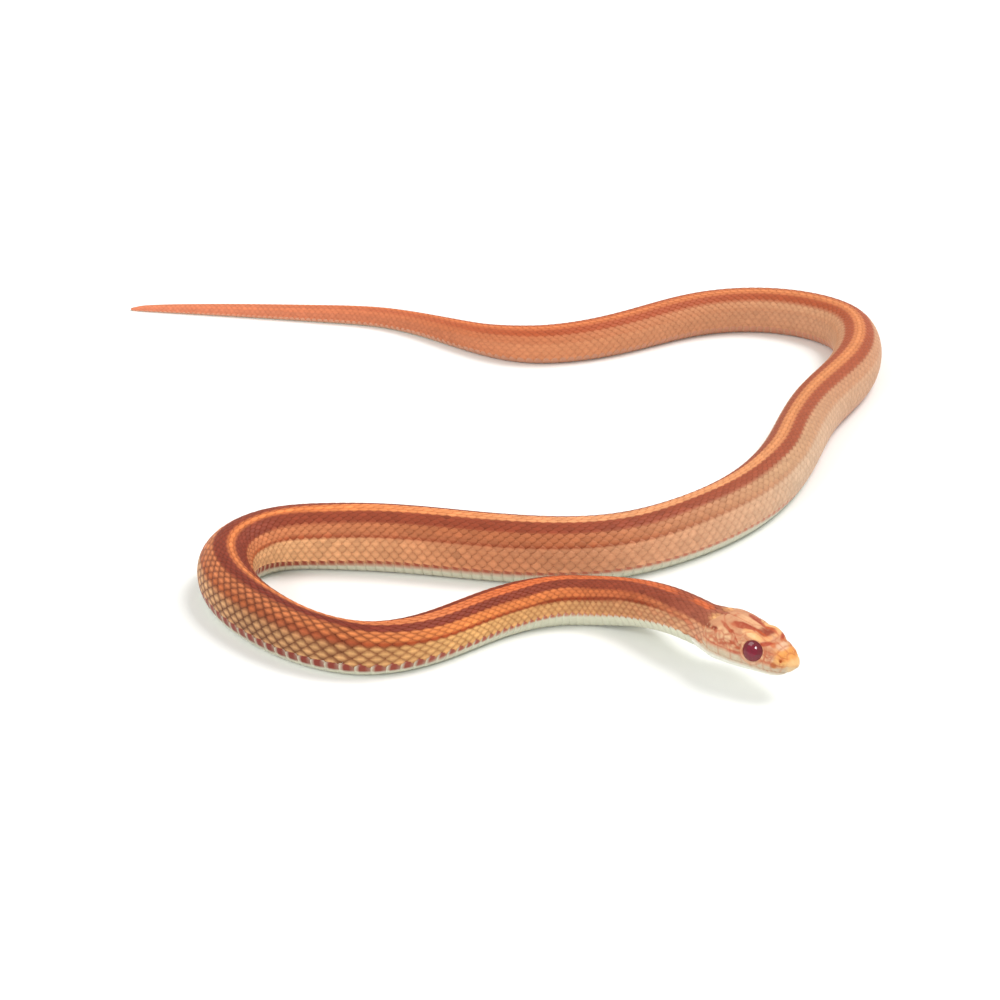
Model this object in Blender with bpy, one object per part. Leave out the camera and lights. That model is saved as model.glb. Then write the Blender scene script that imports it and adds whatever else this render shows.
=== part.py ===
"""A young corn snake at rest, life size, as a still museum model.

Units are metres, +Z is up, and the belly rests on Z = 0. The origin is the centre of the
box around the snake, at floor level. The body is a loaf-shaped section carried along a
route drawn on the floor, parted by thin cuts into named lengths. The belly scutes are
steps in that surface. The head is a loft of its own with raised shields, nostrils, eye
sockets and a lower jaw parted along the line of the mouth.
"""

import math

import bmesh
import bpy
import numpy as np
from mathutils import Matrix, Vector

MM = 0.001

# Driving sizes, in millimetres unless said otherwise
PART_GAP = 0.3
MERGE = 0.003
ROUTE_SHIFT = (0.7, -499.1)
HEAD_JOINT = 19.4
REST_FROM = 46.0
NECK_LIFT = 3.9
NECK_DROOP = -1.3
VENT_AT = 406.0
PLAIN_TAIL_FROM = 474.0

# The route on the floor from the snout to the tail tip, before ROUTE_SHIFT
ROUTE = [
    (50.7, 415.3), (43.0, 420.8), (35.2, 426.4), (29.7, 432.5), (24.1, 438.2), (15.8, 441.8),
    (5.2, 440.4), (-5.2, 433.6), (-13.6, 427.2), (-22.1, 424.4), (-32.2, 427.4), (-41.0, 435.0),
    (-47.6, 445.5), (-48.4, 455.2), (-42.5, 462.4), (-31.0, 464.1), (-16.3, 462.6), (1.8, 459.2),
    (18.0, 459.8), (33.0, 467.3), (46.1, 480.3), (55.5, 498.4), (63.7, 522.4), (72.1, 539.6),
    (75.2, 554.2), (73.6, 564.8), (66.8, 571.9), (56.5, 575.4), (43.5, 573.7), (28.0, 564.8),
    (14.9, 558.8), (5.3, 558.2), (-4.2, 562.5), (-15.1, 570.6), (-25.0, 576.3), (-38.0, 579.3),
    (-59.5, 582.6), (-82.4, 585.5),
]

# Thickness of the body along its length, from the neck to the tail tip
GIRTH = [
    (19.4, 7.2), (30.0, 7.6), (45.0, 8.2), (80.0, 8.4), (110.0, 9.4), (140.0, 10.8),
    (165.0, 11.6), (185.0, 11.5), (215.0, 10.8), (300.0, 10.5), (330.0, 9.6), (370.0, 8.6),
    (404.0, 7.5), (418.0, 6.0), (437.0, 4.4), (455.0, 3.6), (480.0, 2.4), (495.0, 1.35), (498.3, 0.6),
]

# Spacing of the belly scutes along the body
SCUTES = [(19.4, 1.5), (90.0, 1.65), (200.0, 1.85), (330.0, 1.75), (406.0, 1.55), (500.0, 1.0)]
SCUTE_STEP = 0.13
SCUTE_RAMP = 0.4
STEP_LENGTH = 0.05

# Where one length of the body ends and the next begins
LENGTHS = [
    ("neck", 48.0), ("body_1", 84.0), ("body_2", 112.0), ("body_3", 134.0), ("body_4", 160.0),
    ("body_5", 205.0), ("body_6", 245.0), ("body_7", 290.0), ("body_8", 322.0), ("body_9", 350.0),
    ("body_10", VENT_AT), ("tail_base", 440.0), ("tail", 500.0),
]

# The section: angles run from the middle of the back round to the belly, in degrees
WIDEST_SHARE = 0.47
BELLY_SHARE = 0.58
SIDE_BOXINESS = 0.85
BELLY_EDGE = 103.0
BELLY_FLAT = 147.0
BACK_FACETS = 12

# The head, in its own frame: X forward from the joint with the neck, Y left, Z up
HEAD_LENGTH = 19.4
HEAD_WIDTH = [(0.0, 3.6), (2.0, 4.3), (5.0, 5.2), (8.0, 5.05), (12.2, 4.2), (15.0, 3.65), (18.0, 2.9), (19.4, 2.6)]
HEAD_TOP = [(0.0, 7.2), (3.0, 7.4), (6.0, 7.6), (9.0, 7.5), (12.2, 7.1), (15.0, 6.3), (17.5, 5.5), (19.4, 5.0)]
HEAD_UNDER = [(0.0, 0.0), (3.0, 0.0), (6.0, 0.25), (9.0, 0.5), (12.2, 0.8), (15.0, 1.1), (17.5, 1.4), (19.4, 1.6)]
SNOUT_ROUNDING = 4.2
SNOUT_LIP = 0.8
SNOUT_HEIGHT = 3.8
CHIN_SETBACK = 0.9
CROWN_BOXINESS = 0.8
HEAD_RINGS = 30
HEAD_COLUMNS = 32

# The line of the mouth in the side view, from its corner to the snout
MOUTH = [(2.6, 3.3), (3.8, 2.85), (6.0, 2.5), (9.0, 2.4), (12.0, 2.45), (15.0, 2.55), (17.5, 2.6), (21.0, 2.6)]
JAW_HINGE_SLANT = 0.9

# The eye is a lens: the middle of its rim, its axis out of the head, and its half sizes
EYE_PLACE = (12.65, 3.35, 5.1)
EYE_AXIS = (0.19, 0.91, 0.37)
EYE_RADII = (1.86, 0.66, 1.86)
NOSTRIL_PLACE = (17.55, 1.95, 4.6)
NOSTRIL_RADII = (0.34, 0.9, 0.3)

# Raised shields of the head
SHIELD_ROOT = 0.6
SHIELD_EDGE = 0.06
SHIELD_CROWN = 0.17
SHIELD_INSET = 0.13
# Crown shields in plan, as distance behind the snout and distance from the middle line
ROSTRAL = [(0.9, 0.0), (0.95, 0.6), (1.3, 1.05), (1.75, 0.55), (1.85, 0.0)]
INTERNASAL = [(1.85, 0.0), (1.75, 0.55), (1.3, 1.2), (1.9, 1.75), (2.9, 1.95), (3.1, 1.0), (3.1, 0.0)]
PREFRONTAL = [(3.1, 0.0), (3.1, 1.0), (2.9, 1.95), (3.6, 2.55), (4.9, 2.9), (5.3, 2.2), (5.2, 1.4), (5.0, 0.0)]
SUPRAOCULAR = [(5.2, 1.5), (5.3, 2.3), (5.6, 2.95), (7.2, 3.35), (8.8, 3.25), (9.2, 2.3), (8.2, 1.35), (6.6, 1.3)]
FRONTAL = [(5.0, 0.0), (5.15, 1.4), (6.6, 1.2), (8.2, 1.25), (9.3, 0.55), (9.7, 0.0)]
PARIETAL = [(9.7, 0.0), (9.3, 0.6), (8.4, 1.4), (9.3, 2.4), (9.6, 3.3), (11.4, 3.6),
            (13.6, 2.6), (14.9, 1.2), (15.1, 0.0)]
# Lip shields: their sutures behind the snout, and their height at the front and at the back
UPPER_LIPS = [1.7, 3.2, 4.7, 6.1, 7.5, 9.2, 11.4, 14.0, 16.2]
UPPER_LIP_HEIGHT = (1.2, 1.9)
LOWER_LIPS = [1.9, 3.4, 5.0, 6.6, 8.4, 10.6, 13.2, 16.0]
LOWER_LIP_HEIGHT = (0.75, 1.1)


def along(stations, at):
    """Value at a place along stations of (place, value), with no overshoot between them.

    Between two stations it is a cubic whose slopes are the harmonic means of the slopes on
    either side of each station, and zero where those change sign.
    """
    place, value = np.array(stations, float).T
    step = np.diff(place)
    slope = np.diff(value) / step
    product = slope[1:] * slope[:-1]
    total = np.where(product > 0, slope[1:] + slope[:-1], 1.0)
    inner = np.where(product > 0, 2 * product / total, 0.0)
    ends = np.concatenate([[slope[0]], inner, [slope[-1]]])
    at = np.clip(np.asarray(at, float), place[0], place[-1])
    i = np.clip(np.searchsorted(place, at, side="right") - 1, 0, len(step) - 1)
    t = (at - place[i]) / step[i]
    rise = value[i] + (value[i + 1] - value[i]) * t * t * (3 - 2 * t)
    return rise + step[i] * t * (1 - t) * (ends[i] * (1 - t) - ends[i + 1] * t)


def natural_spline(points, count):
    """Points along the natural cubic spline through the given ones, spaced by chord length."""
    points = np.array(points, float)
    knots = np.concatenate([[0], np.cumsum(np.linalg.norm(np.diff(points, axis=0), axis=1))])
    gap = np.diff(knots)[:, None]
    system = np.eye(len(points))
    right = np.zeros_like(points)
    for i in range(1, len(points) - 1):
        system[i, i - 1 : i + 2] = gap[i - 1, 0], 2 * (gap[i - 1, 0] + gap[i, 0]), gap[i, 0]
        right[i] = 6 * ((points[i + 1] - points[i]) / gap[i] - (points[i] - points[i - 1]) / gap[i - 1])
    bend = np.linalg.solve(system, right)
    t = np.linspace(0, knots[-1], count)
    i = np.clip(np.searchsorted(knots, t, side="right") - 1, 0, len(gap) - 1)
    before = (t - knots[i])[:, None]
    after = (knots[i + 1] - t)[:, None]
    width = gap[i]
    curve = (bend[i] * after**3 + bend[i + 1] * before**3) / (6 * width)
    curve += (points[i] / width - bend[i] * width / 6) * after
    return curve + (points[i + 1] / width - bend[i + 1] * width / 6) * before


class Route:
    """The line of the belly from the snout to the tail tip, by distance along it in millimetres."""

    SAMPLES = 6001

    def __init__(self):
        plan = natural_spline(ROUTE, self.SAMPLES) + np.array(ROUTE_SHIFT)
        self.place = np.concatenate([[0], np.cumsum(np.linalg.norm(np.diff(plan, axis=0), axis=1))])
        self.length = self.place[-1]
        self.line = np.column_stack([plan, self.lift(self.place)])
        ahead = -np.gradient(self.line, self.place, axis=0)
        self.ahead = ahead / np.linalg.norm(ahead, axis=1)[:, None]

    def lift(self, at):
        """Height of the belly over the floor: the neck rises in one soft ramp to the head."""
        ramp = REST_FROM - HEAD_JOINT
        u = np.clip((REST_FROM - at) / ramp, 0, 1)
        risen = NECK_LIFT * (3 * u**2 - 2 * u**3) + NECK_DROOP * (u**3 - u**2)
        in_head = np.maximum(HEAD_JOINT - at, 0)
        return risen + in_head * NECK_DROOP / ramp

    def frame(self, at):
        """Place, forward, left and up directions at a distance from the snout."""
        place = np.array([np.interp(at, self.place, self.line[:, k]) for k in range(3)])
        forward = np.array([np.interp(at, self.place, self.ahead[:, k]) for k in range(3)])
        forward /= np.linalg.norm(forward)
        left = np.cross([0, 0, 1], forward)
        left /= np.linalg.norm(left)
        return place, forward, left, np.cross(forward, left)


def section(half_width, bottom, top, angle, boxiness=1.0):
    """Offset to the left and height of the skin at an angle from the middle of the back."""
    turn = math.radians(angle)
    across, upward = math.sin(turn), math.cos(turn)
    middle = bottom + WIDEST_SHARE * (top - bottom)
    if upward >= 0:
        side = half_width * math.copysign(abs(across) ** boxiness, across)
        return side, middle + (top - middle) * upward**boxiness
    side = half_width * math.copysign(abs(across) ** SIDE_BOXINESS, across)
    return side, max(bottom, middle + BELLY_SHARE * (top - bottom) * upward)


def mesh_object(name, points, faces, colour, roughness):
    """A mesh object from points in millimetres, shaded smooth except at sharp edges."""
    mesh = bpy.data.meshes.new(name)
    mesh.from_pydata([tuple(float(x) * MM for x in p) for p in points], [], faces)
    mesh.update()
    obj = bpy.data.objects.new(name, mesh)
    bpy.context.scene.collection.objects.link(obj)
    paint(obj, colour, roughness)
    mesh.shade_smooth()
    mesh.set_sharp_from_angle(angle=math.radians(30))
    return obj


def paint(obj, colour, roughness):
    """Gives an object its own Principled material."""
    material = bpy.data.materials.new(obj.name)
    material.use_nodes = True
    shader = material.node_tree.nodes["Principled BSDF"]
    shader.inputs["Base Color"].default_value = (*colour, 1)
    shader.inputs["Roughness"].default_value = roughness
    shader.inputs["Metallic"].default_value = 0
    obj.data.materials.clear()
    obj.data.materials.append(material)


def scute_edges(start, end):
    """Distances of the front edges of the belly scutes from start to end, with both ends."""
    edges = [start]
    while edges[-1] < end:
        edges.append(edges[-1] + float(along(SCUTES, edges[-1])))
    edges = np.array(edges)
    return edges * (end - start) / (edges[-1] - start) + start * (1 - (end - start) / (edges[-1] - start))


def inset(outline, width):
    """A flat outline drawn in by a width, each corner kept where its two moved sides meet."""
    if np.cross(outline, np.roll(outline, -1, axis=0)).sum() < 0:
        outline = outline[::-1]
    side = np.roll(outline, -1, axis=0) - outline
    side /= np.linalg.norm(side, axis=1)[:, None]
    inward = np.column_stack([-side[:, 1], side[:, 0]])
    before = np.roll(inward, 1, axis=0)
    return outline + width * (inward + before) / (1 + (inward * before).sum(axis=1))[:, None]


class BodyLength:
    """One length of the body between two cuts, with its belly scutes.

    Round the back it has rings at every second scute. Across the belly each scute has three
    rows: a recessed front edge, the end of its ramp, and its rear edge, which stands proud.
    """

    COLOUR = (0.62, 0.26, 0.12)
    ROUGHNESS = 0.42

    def __init__(self, name, route, edges, blunt_end=True):
        self.name = name
        self.route = route
        self.edges = list(edges)
        self.blunt_end = blunt_end
        self.points = []
        self.faces = []

    def ring_point(self, at, angle, recess=0.0):
        place, _, left, up = self.route.frame(at)
        thickness = float(along(GIRTH, at))
        side, height = section(thickness / 2, 0.0, thickness, angle)
        keep = 1 - recess / (thickness / 2)
        under = BELLY_EDGE < angle < 360 - BELLY_EDGE
        self.points.append(place + left * side * keep + up * (height + recess * under))
        return len(self.points) - 1

    def belly_row(self, at, recess):
        """Four points across the belly, from the left edge to the right edge."""
        angles = (BELLY_EDGE, BELLY_FLAT, 360 - BELLY_FLAT, 360 - BELLY_EDGE)
        return [self.ring_point(at, angle, recess) for angle in angles]

    def belly_rows(self):
        """Rows across the belly for each scute."""
        scutes = []
        for front, rear in zip(self.edges, self.edges[1:]):
            first = front if front == self.edges[0] else front + STEP_LENGTH
            if front >= PLAIN_TAIL_FROM:
                scutes.append([self.belly_row(first, 0.0)])
                continue
            recess = min(SCUTE_STEP, 0.02 * float(along(GIRTH, front)))
            ramp_end = front + SCUTE_RAMP * (rear - front)
            scutes.append([self.belly_row(first, recess), self.belly_row(ramp_end, 0.0), self.belly_row(rear, 0.0)])
        if self.edges[-2] >= PLAIN_TAIL_FROM:
            scutes[-1].append(self.belly_row(self.edges[-1], 0.0))
        return scutes

    def build(self):
        """Builds the closed surface of this length."""
        scutes = self.belly_rows()
        rows = [row for scute in scutes for row in scute]
        for row, following in zip(rows, rows[1:]):
            for a in range(3):
                self.faces.append((row[a], row[a + 1], following[a + 1], following[a]))
        starts = np.cumsum([0] + [len(scute) for scute in scutes])
        marks = list(range(0, len(scutes), 2)) + [len(scutes)]
        stations = [0 if m == 0 else min(starts[m], len(rows) - 1) for m in marks]
        step = 2 * BELLY_EDGE / BACK_FACETS
        angles = [step * (BACK_FACETS / 2 - k) for k in range(1, BACK_FACETS)]
        backs = []
        for mark in marks:
            at = self.edges[min(mark, len(self.edges) - 1)]
            backs.append([self.ring_point(at, angle) for angle in angles])
        for back, following in zip(backs, backs[1:]):
            for a in range(len(angles) - 1):
                self.faces.append((back[a], following[a], following[a + 1], back[a + 1]))
        for j in range(len(marks) - 1):
            span = rows[stations[j] : stations[j + 1] + 1]
            self.join_side([row[0] for row in span], backs[j][0], backs[j + 1][0], True)
            self.join_side([row[3] for row in span], backs[j][-1], backs[j + 1][-1], False)
        self.faces.append(tuple(rows[0] + backs[0][::-1]))
        self.faces.append(tuple((rows[-1] + backs[-1][::-1])[::-1]))
        obj = mesh_object(self.name, self.points, self.faces, self.COLOUR, self.ROUGHNESS)
        point_outwards(obj)
        return obj

    def join_side(self, edge, near, far, flip):
        """Triangles between the fine edge of the belly and the coarse rows of the back."""
        middle = len(edge) // 2
        triangles = [(near, edge[k], edge[k + 1]) for k in range(middle)]
        triangles.append((near, edge[middle], far))
        triangles += [(far, edge[k], edge[k + 1]) for k in range(middle, len(edge) - 1)]
        for triangle in triangles:
            self.faces.append(triangle[::-1] if flip else triangle)


def point_outwards(obj):
    """Turns every face outwards on a closed mesh."""
    work = bmesh.new()
    work.from_mesh(obj.data)
    bmesh.ops.recalc_face_normals(work, faces=work.faces)
    work.to_mesh(obj.data)
    work.free()


class Head:
    """The head: a loft with shields, parted into the upper head and the lower jaw."""

    COLOUR = (0.85, 0.55, 0.38)
    ROUGHNESS = 0.38
    EYE_COLOUR = (0.16, 0.015, 0.03)
    EYE_ROUGHNESS = 0.06

    def __init__(self, route):
        place, forward, left, up = route.frame(HEAD_JOINT)
        axes = Matrix([[*row] for row in np.column_stack([forward, left, up])]).to_4x4()
        self.matrix = Matrix.Translation(Vector(place * MM)) @ axes

    def sizes(self, x):
        """Half width, underside and top at x, drawn in to a round snout at the front."""
        start = HEAD_LENGTH - SNOUT_ROUNDING
        u = min(max((x - start) / SNOUT_ROUNDING, 0), 1)
        chin = min(max((x - start) / (SNOUT_ROUNDING - CHIN_SETBACK), 0), 1)
        shrink = math.sqrt(max(1 - u**2.3, 0))
        shrink_under = math.sqrt(max(1 - chin**2.6, 0))
        half_width = float(along(HEAD_WIDTH, x)) * shrink
        top = SNOUT_HEIGHT + (float(along(HEAD_TOP, x)) - SNOUT_HEIGHT) * shrink
        under_tip = SNOUT_HEIGHT - SNOUT_LIP
        bottom = under_tip + (float(along(HEAD_UNDER, x)) - under_tip) * shrink_under
        return half_width, bottom, top

    def boxiness(self, x):
        blend = min(max(x / 5.0, 0), 1)
        return 1 + (CROWN_BOXINESS - 1) * blend * blend * (3 - 2 * blend)

    def loft(self):
        """The head before it is cut, with a flat rear face that meets the neck."""
        spread = np.linspace(0, 1, HEAD_RINGS)
        places = PART_GAP / 2 + (HEAD_LENGTH - PART_GAP / 2) * np.sin(spread * math.pi / 2) ** 1.15
        points, faces = [], []
        for x in places[:-1]:
            half_width, bottom, top = self.sizes(x)
            for k in range(HEAD_COLUMNS):
                side, height = section(half_width, bottom, top, 360 * k / HEAD_COLUMNS, self.boxiness(x))
                points.append((x, side, height))
        count = HEAD_COLUMNS
        for r in range(len(places) - 2):
            for k in range(count):
                a, b = r * count + k, r * count + (k + 1) % count
                faces.append((a, b, b + count, a + count))
        points.append((HEAD_LENGTH, 0, SNOUT_HEIGHT - SNOUT_LIP / 2))
        last = (len(places) - 2) * count
        faces += [(last + k, last + (k + 1) % count, len(points) - 1) for k in range(count)]
        faces.append(tuple(range(count)))
        return closed(mesh_object("head", points, faces, self.COLOUR, self.ROUGHNESS))

    def on_crown(self, x, y, raised):
        """A point over the top of the head at x, y."""
        half_width, bottom, top = self.sizes(x)
        middle = bottom + WIDEST_SHARE * (top - bottom)
        share = max(1 - (abs(y) / half_width) ** (2 / self.boxiness(x)), 0) ** (self.boxiness(x) / 2)
        return x, y, middle + (top - middle) * share + raised

    def on_cheek(self, x, z, side, raised):
        """A point outside the side of the head at x, z. Side is 1 on the left and -1 on the right."""
        half_width, bottom, top = self.sizes(x)
        middle = bottom + WIDEST_SHARE * (top - bottom)
        if z >= middle:
            share = max(1 - ((z - middle) / (top - middle)) ** (2 / self.boxiness(x)), 0) ** (self.boxiness(x) / 2)
        else:
            share = max(1 - ((middle - z) / (BELLY_SHARE * (top - bottom))) ** 2, 0) ** (SIDE_BOXINESS / 2)
        return x, side * (half_width * share + raised), z

    def shield(self, outline, lay):
        """A raised plate over an outline. lay turns a point of the outline into one on the head."""
        edge = inset(np.array(outline, float), SHIELD_INSET)
        centre = edge.mean(axis=0)
        inner = centre + (edge - centre) * 0.62
        count = len(edge)
        points = [lay(*p, -SHIELD_ROOT) for p in edge]
        points += [lay(*p, SHIELD_EDGE) for p in edge]
        points += [lay(*p, SHIELD_CROWN) for p in inner]
        points += [lay(*centre, -SHIELD_ROOT), lay(*centre, SHIELD_CROWN)]
        faces = []
        for k in range(count):
            n = (k + 1) % count
            faces.append((2 * count + count, n, k))
            faces.append((k, n, count + n, count + k))
            faces.append((count + k, count + n, 2 * count + n, 2 * count + k))
            faces.append((2 * count + k, 2 * count + n, 3 * count + 1))
        obj = mesh_object("shield", points, faces, self.COLOUR, self.ROUGHNESS)
        point_outwards(obj)
        return obj

    def crown_shields(self):
        """The plates on top of the head: one in the middle at the snout and brow, and pairs beside."""
        shields = []

        def lay(behind, y, raised):
            return self.on_crown(HEAD_LENGTH - behind, y, raised)

        for half in (ROSTRAL, FRONTAL):
            mirrored = [(b, -y) for b, y in half[::-1] if y > 0]
            shields.append(self.shield(half + mirrored, lay))
        for half in (INTERNASAL, PREFRONTAL, SUPRAOCULAR, PARIETAL):
            for side in (1, -1):
                shields.append(self.shield([(b, y * side) for b, y in half], lay))
        return shields

    def lip_shields(self, sutures, heights, side, direction):
        """A row of lip plates above or below the line of the mouth, on one side."""
        shields = []

        def lay(x, z, raised):
            return self.on_cheek(x, z, side, raised)

        reach = sutures[-1] - sutures[0]
        for front, rear in zip(sutures, sutures[1:]):
            x_front, x_rear = HEAD_LENGTH - front, HEAD_LENGTH - rear
            high_front = heights[0] + (heights[1] - heights[0]) * (front - sutures[0]) / reach
            high_rear = heights[0] + (heights[1] - heights[0]) * (rear - sutures[0]) / reach
            lip_front, lip_rear = float(along(MOUTH, x_front)), float(along(MOUTH, x_rear))
            middle = (x_front + x_rear) / 2
            lip_middle = float(along(MOUTH, middle))
            outline = [
                (x_front, lip_front), (x_front, lip_front + direction * high_front),
                (middle, lip_middle + direction * (high_front + high_rear) / 2),
                (x_rear, lip_rear + direction * high_rear), (x_rear, lip_rear), (middle, lip_middle),
            ]
            shields.append(self.shield(outline, lay))
        return shields

    def blob(self, name, place, radii, side, axis=(0.0, 1.0, 0.0), grow=0.0, segments=20, rings=12):
        """An ellipsoid on one side of the head, turned so that its second radius lies along axis."""
        work = bmesh.new()
        bmesh.ops.create_uvsphere(work, u_segments=segments, v_segments=rings, radius=1.0)
        bmesh.ops.rotate(work, verts=work.verts, matrix=Matrix.Rotation(math.pi / 2, 3, "X"))
        bmesh.ops.scale(work, verts=work.verts, vec=[(r + grow) * MM for r in radii])
        turn = Vector((0, side, 0)).rotation_difference(Vector((axis[0], side * axis[1], axis[2])))
        bmesh.ops.rotate(work, verts=work.verts, matrix=turn.to_matrix())
        bmesh.ops.translate(work, verts=work.verts, vec=[place[0] * MM, side * place[1] * MM, place[2] * MM])
        mesh = bpy.data.meshes.new(name)
        work.to_mesh(mesh)
        work.free()
        obj = bpy.data.objects.new(name, mesh)
        bpy.context.scene.collection.objects.link(obj)
        paint(obj, self.EYE_COLOUR, self.EYE_ROUGHNESS)
        mesh.shade_smooth()
        return obj

    def jaw_region(self, gap):
        """A prism that holds all below the mouth and ahead of its corner, shrunk by gap."""
        line = [(x + (gap if x == MOUTH[0][0] else 0), z - gap) for x, z in MOUTH]
        below = -3.0
        corner_x, corner_z = line[0]
        foot = (corner_x - JAW_HINGE_SLANT, below)
        outline = line + [(MOUTH[-1][0], below), foot]
        reach = 8.0
        points = [(x, y, z) for y in (-reach, reach) for x, z in outline]
        count = len(outline)
        faces = [tuple(range(count)), tuple(range(2 * count - 1, count - 1, -1))]
        faces += [(k, k + count, (k + 1) % count + count, (k + 1) % count) for k in range(count)]
        obj = mesh_object("jaw_region", points, faces, self.COLOUR, self.ROUGHNESS)
        point_outwards(obj)
        return obj

    def build(self):
        """Joins the shields to the head, cuts it, and sets the eyes in it."""
        head = self.loft()
        pieces = self.crown_shields()
        for side in (1, -1):
            pieces += self.lip_shields(UPPER_LIPS, UPPER_LIP_HEIGHT, side, 1)
            pieces += self.lip_shields(LOWER_LIPS, LOWER_LIP_HEIGHT, side, -1)
        combine(head, pieces, "UNION")
        hollows = []
        for side in (1, -1):
            hollows.append(self.blob("socket", EYE_PLACE, EYE_RADII, side, EYE_AXIS, grow=PART_GAP))
            hollows.append(self.blob("nostril", NOSTRIL_PLACE, NOSTRIL_RADII, side, segments=10, rings=8))
        combine(head, hollows, "DIFFERENCE")
        jaw = head.copy()
        jaw.data = head.data.copy()
        jaw.name = "lower_jaw"
        bpy.context.scene.collection.objects.link(jaw)
        combine(head, [self.jaw_region(-PART_GAP / 2)], "DIFFERENCE")
        combine(jaw, [self.jaw_region(PART_GAP / 2)], "INTERSECT")
        made = [head, jaw]
        for name, side in (("eye_left", 1), ("eye_right", -1)):
            made.append(self.blob(name, EYE_PLACE, EYE_RADII, side, EYE_AXIS, segments=20, rings=10))
        for obj in (head, jaw):
            keep_largest(obj)
            paint(obj, self.COLOUR, self.ROUGHNESS)
        for obj in made:
            obj.matrix_world = self.matrix
        return made


def closed(obj):
    point_outwards(obj)
    return obj


def combine(obj, others, operation):
    """Applies one Boolean with a collection of closed meshes, which are then removed."""
    group = bpy.data.collections.new("tools")
    bpy.context.scene.collection.children.link(group)
    for other in others:
        bpy.context.scene.collection.objects.unlink(other)
        group.objects.link(other)
    modifier = obj.modifiers.new("combine", "BOOLEAN")
    modifier.operation = operation
    modifier.solver = "EXACT"
    modifier.use_self = operation == "UNION"
    modifier.operand_type = "COLLECTION"
    modifier.collection = group
    graph = bpy.context.evaluated_depsgraph_get()
    mesh = bpy.data.meshes.new_from_object(obj.evaluated_get(graph))
    obj.modifiers.clear()
    work = bmesh.new()
    work.from_mesh(mesh)
    bmesh.ops.remove_doubles(work, verts=work.verts, dist=MERGE * MM)
    bmesh.ops.dissolve_degenerate(work, dist=MERGE * MM, edges=work.edges)
    work.to_mesh(mesh)
    work.free()
    obj.data = mesh
    for other in others:
        bpy.data.objects.remove(other)
    bpy.data.collections.remove(group)


def keep_largest(obj):
    """Keeps the closed surface with the largest box and drops any loose scrap or sealed hollow."""
    work = bmesh.new()
    work.from_mesh(obj.data)
    bmesh.ops.remove_doubles(work, verts=work.verts, dist=1e-7)
    islands, left = [], set(work.verts)
    while left:
        island, reached = set(), [left.pop()]
        while reached:
            vert = reached.pop()
            island.add(vert)
            for edge in vert.link_edges:
                other = edge.other_vert(vert)
                if other in left:
                    left.discard(other)
                    reached.append(other)
        islands.append(island)
    biggest = max(islands, key=len)
    for island in islands:
        if island is not biggest:
            bmesh.ops.delete(work, geom=list(island), context="VERTS")
    work.to_mesh(obj.data)
    work.free()


def clear_scene():
    for obj in list(bpy.data.objects):
        bpy.data.objects.remove(obj)


def main():
    clear_scene()
    route = Route()
    edges = scute_edges(HEAD_JOINT + PART_GAP / 2, min(route.length, GIRTH[-1][0]) - 0.1)
    start = 0
    for name, end in LENGTHS:
        stop = int(np.argmin(abs(edges - end)))
        own = edges[start : stop + 1].copy()
        if start:
            own[0] += PART_GAP
        BodyLength(name, route, own).build()
        start = stop
    Head(route).build()


main()
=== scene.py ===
"""A young corn snake at rest, life size: skin, scales, belly scutes, eyes and a plain studio.

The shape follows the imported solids: a route on the floor carries a loaf-shaped section from the
neck to the tail tip, and the head is a straight piece in front of it. Skin, scales and scutes are
worked out from two numbers, the distance behind the snout and the angle round from the middle of
the back. Distances are in millimetres until a mesh is made. Colours in tables are screen colours
of 0 to 255.
"""

import logging
import math
from dataclasses import dataclass, field
from enum import Enum

import bpy
import numpy as np
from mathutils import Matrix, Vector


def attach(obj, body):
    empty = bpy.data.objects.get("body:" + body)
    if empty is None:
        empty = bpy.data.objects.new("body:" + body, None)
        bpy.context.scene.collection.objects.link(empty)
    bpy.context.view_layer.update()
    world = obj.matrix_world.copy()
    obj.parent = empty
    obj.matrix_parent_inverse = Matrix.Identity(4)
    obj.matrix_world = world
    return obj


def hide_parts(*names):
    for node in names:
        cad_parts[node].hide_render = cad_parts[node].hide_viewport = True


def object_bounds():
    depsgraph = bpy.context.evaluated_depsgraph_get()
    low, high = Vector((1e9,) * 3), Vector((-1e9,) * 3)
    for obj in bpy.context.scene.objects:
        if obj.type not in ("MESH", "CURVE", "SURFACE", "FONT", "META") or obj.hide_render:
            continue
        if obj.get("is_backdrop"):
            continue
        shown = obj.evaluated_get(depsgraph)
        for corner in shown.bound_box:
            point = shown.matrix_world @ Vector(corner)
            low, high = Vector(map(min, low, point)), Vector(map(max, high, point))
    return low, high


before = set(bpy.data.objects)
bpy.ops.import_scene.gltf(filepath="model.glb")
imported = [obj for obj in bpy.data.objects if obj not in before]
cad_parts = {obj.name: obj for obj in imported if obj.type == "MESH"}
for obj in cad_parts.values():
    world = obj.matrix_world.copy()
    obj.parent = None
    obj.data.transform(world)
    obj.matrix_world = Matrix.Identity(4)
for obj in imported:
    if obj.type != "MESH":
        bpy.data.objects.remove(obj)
LOG = logging.getLogger("corn_snake")
MM = 0.001
# How deep the skin lies under the form where plates cover it
SKIN_DEPTH = 0.16
Array = np.ndarray
Span = tuple[float, float]
Colour = tuple[float, float, float]
Station = tuple[float, ...]
Stations = tuple[Station, ...]


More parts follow.
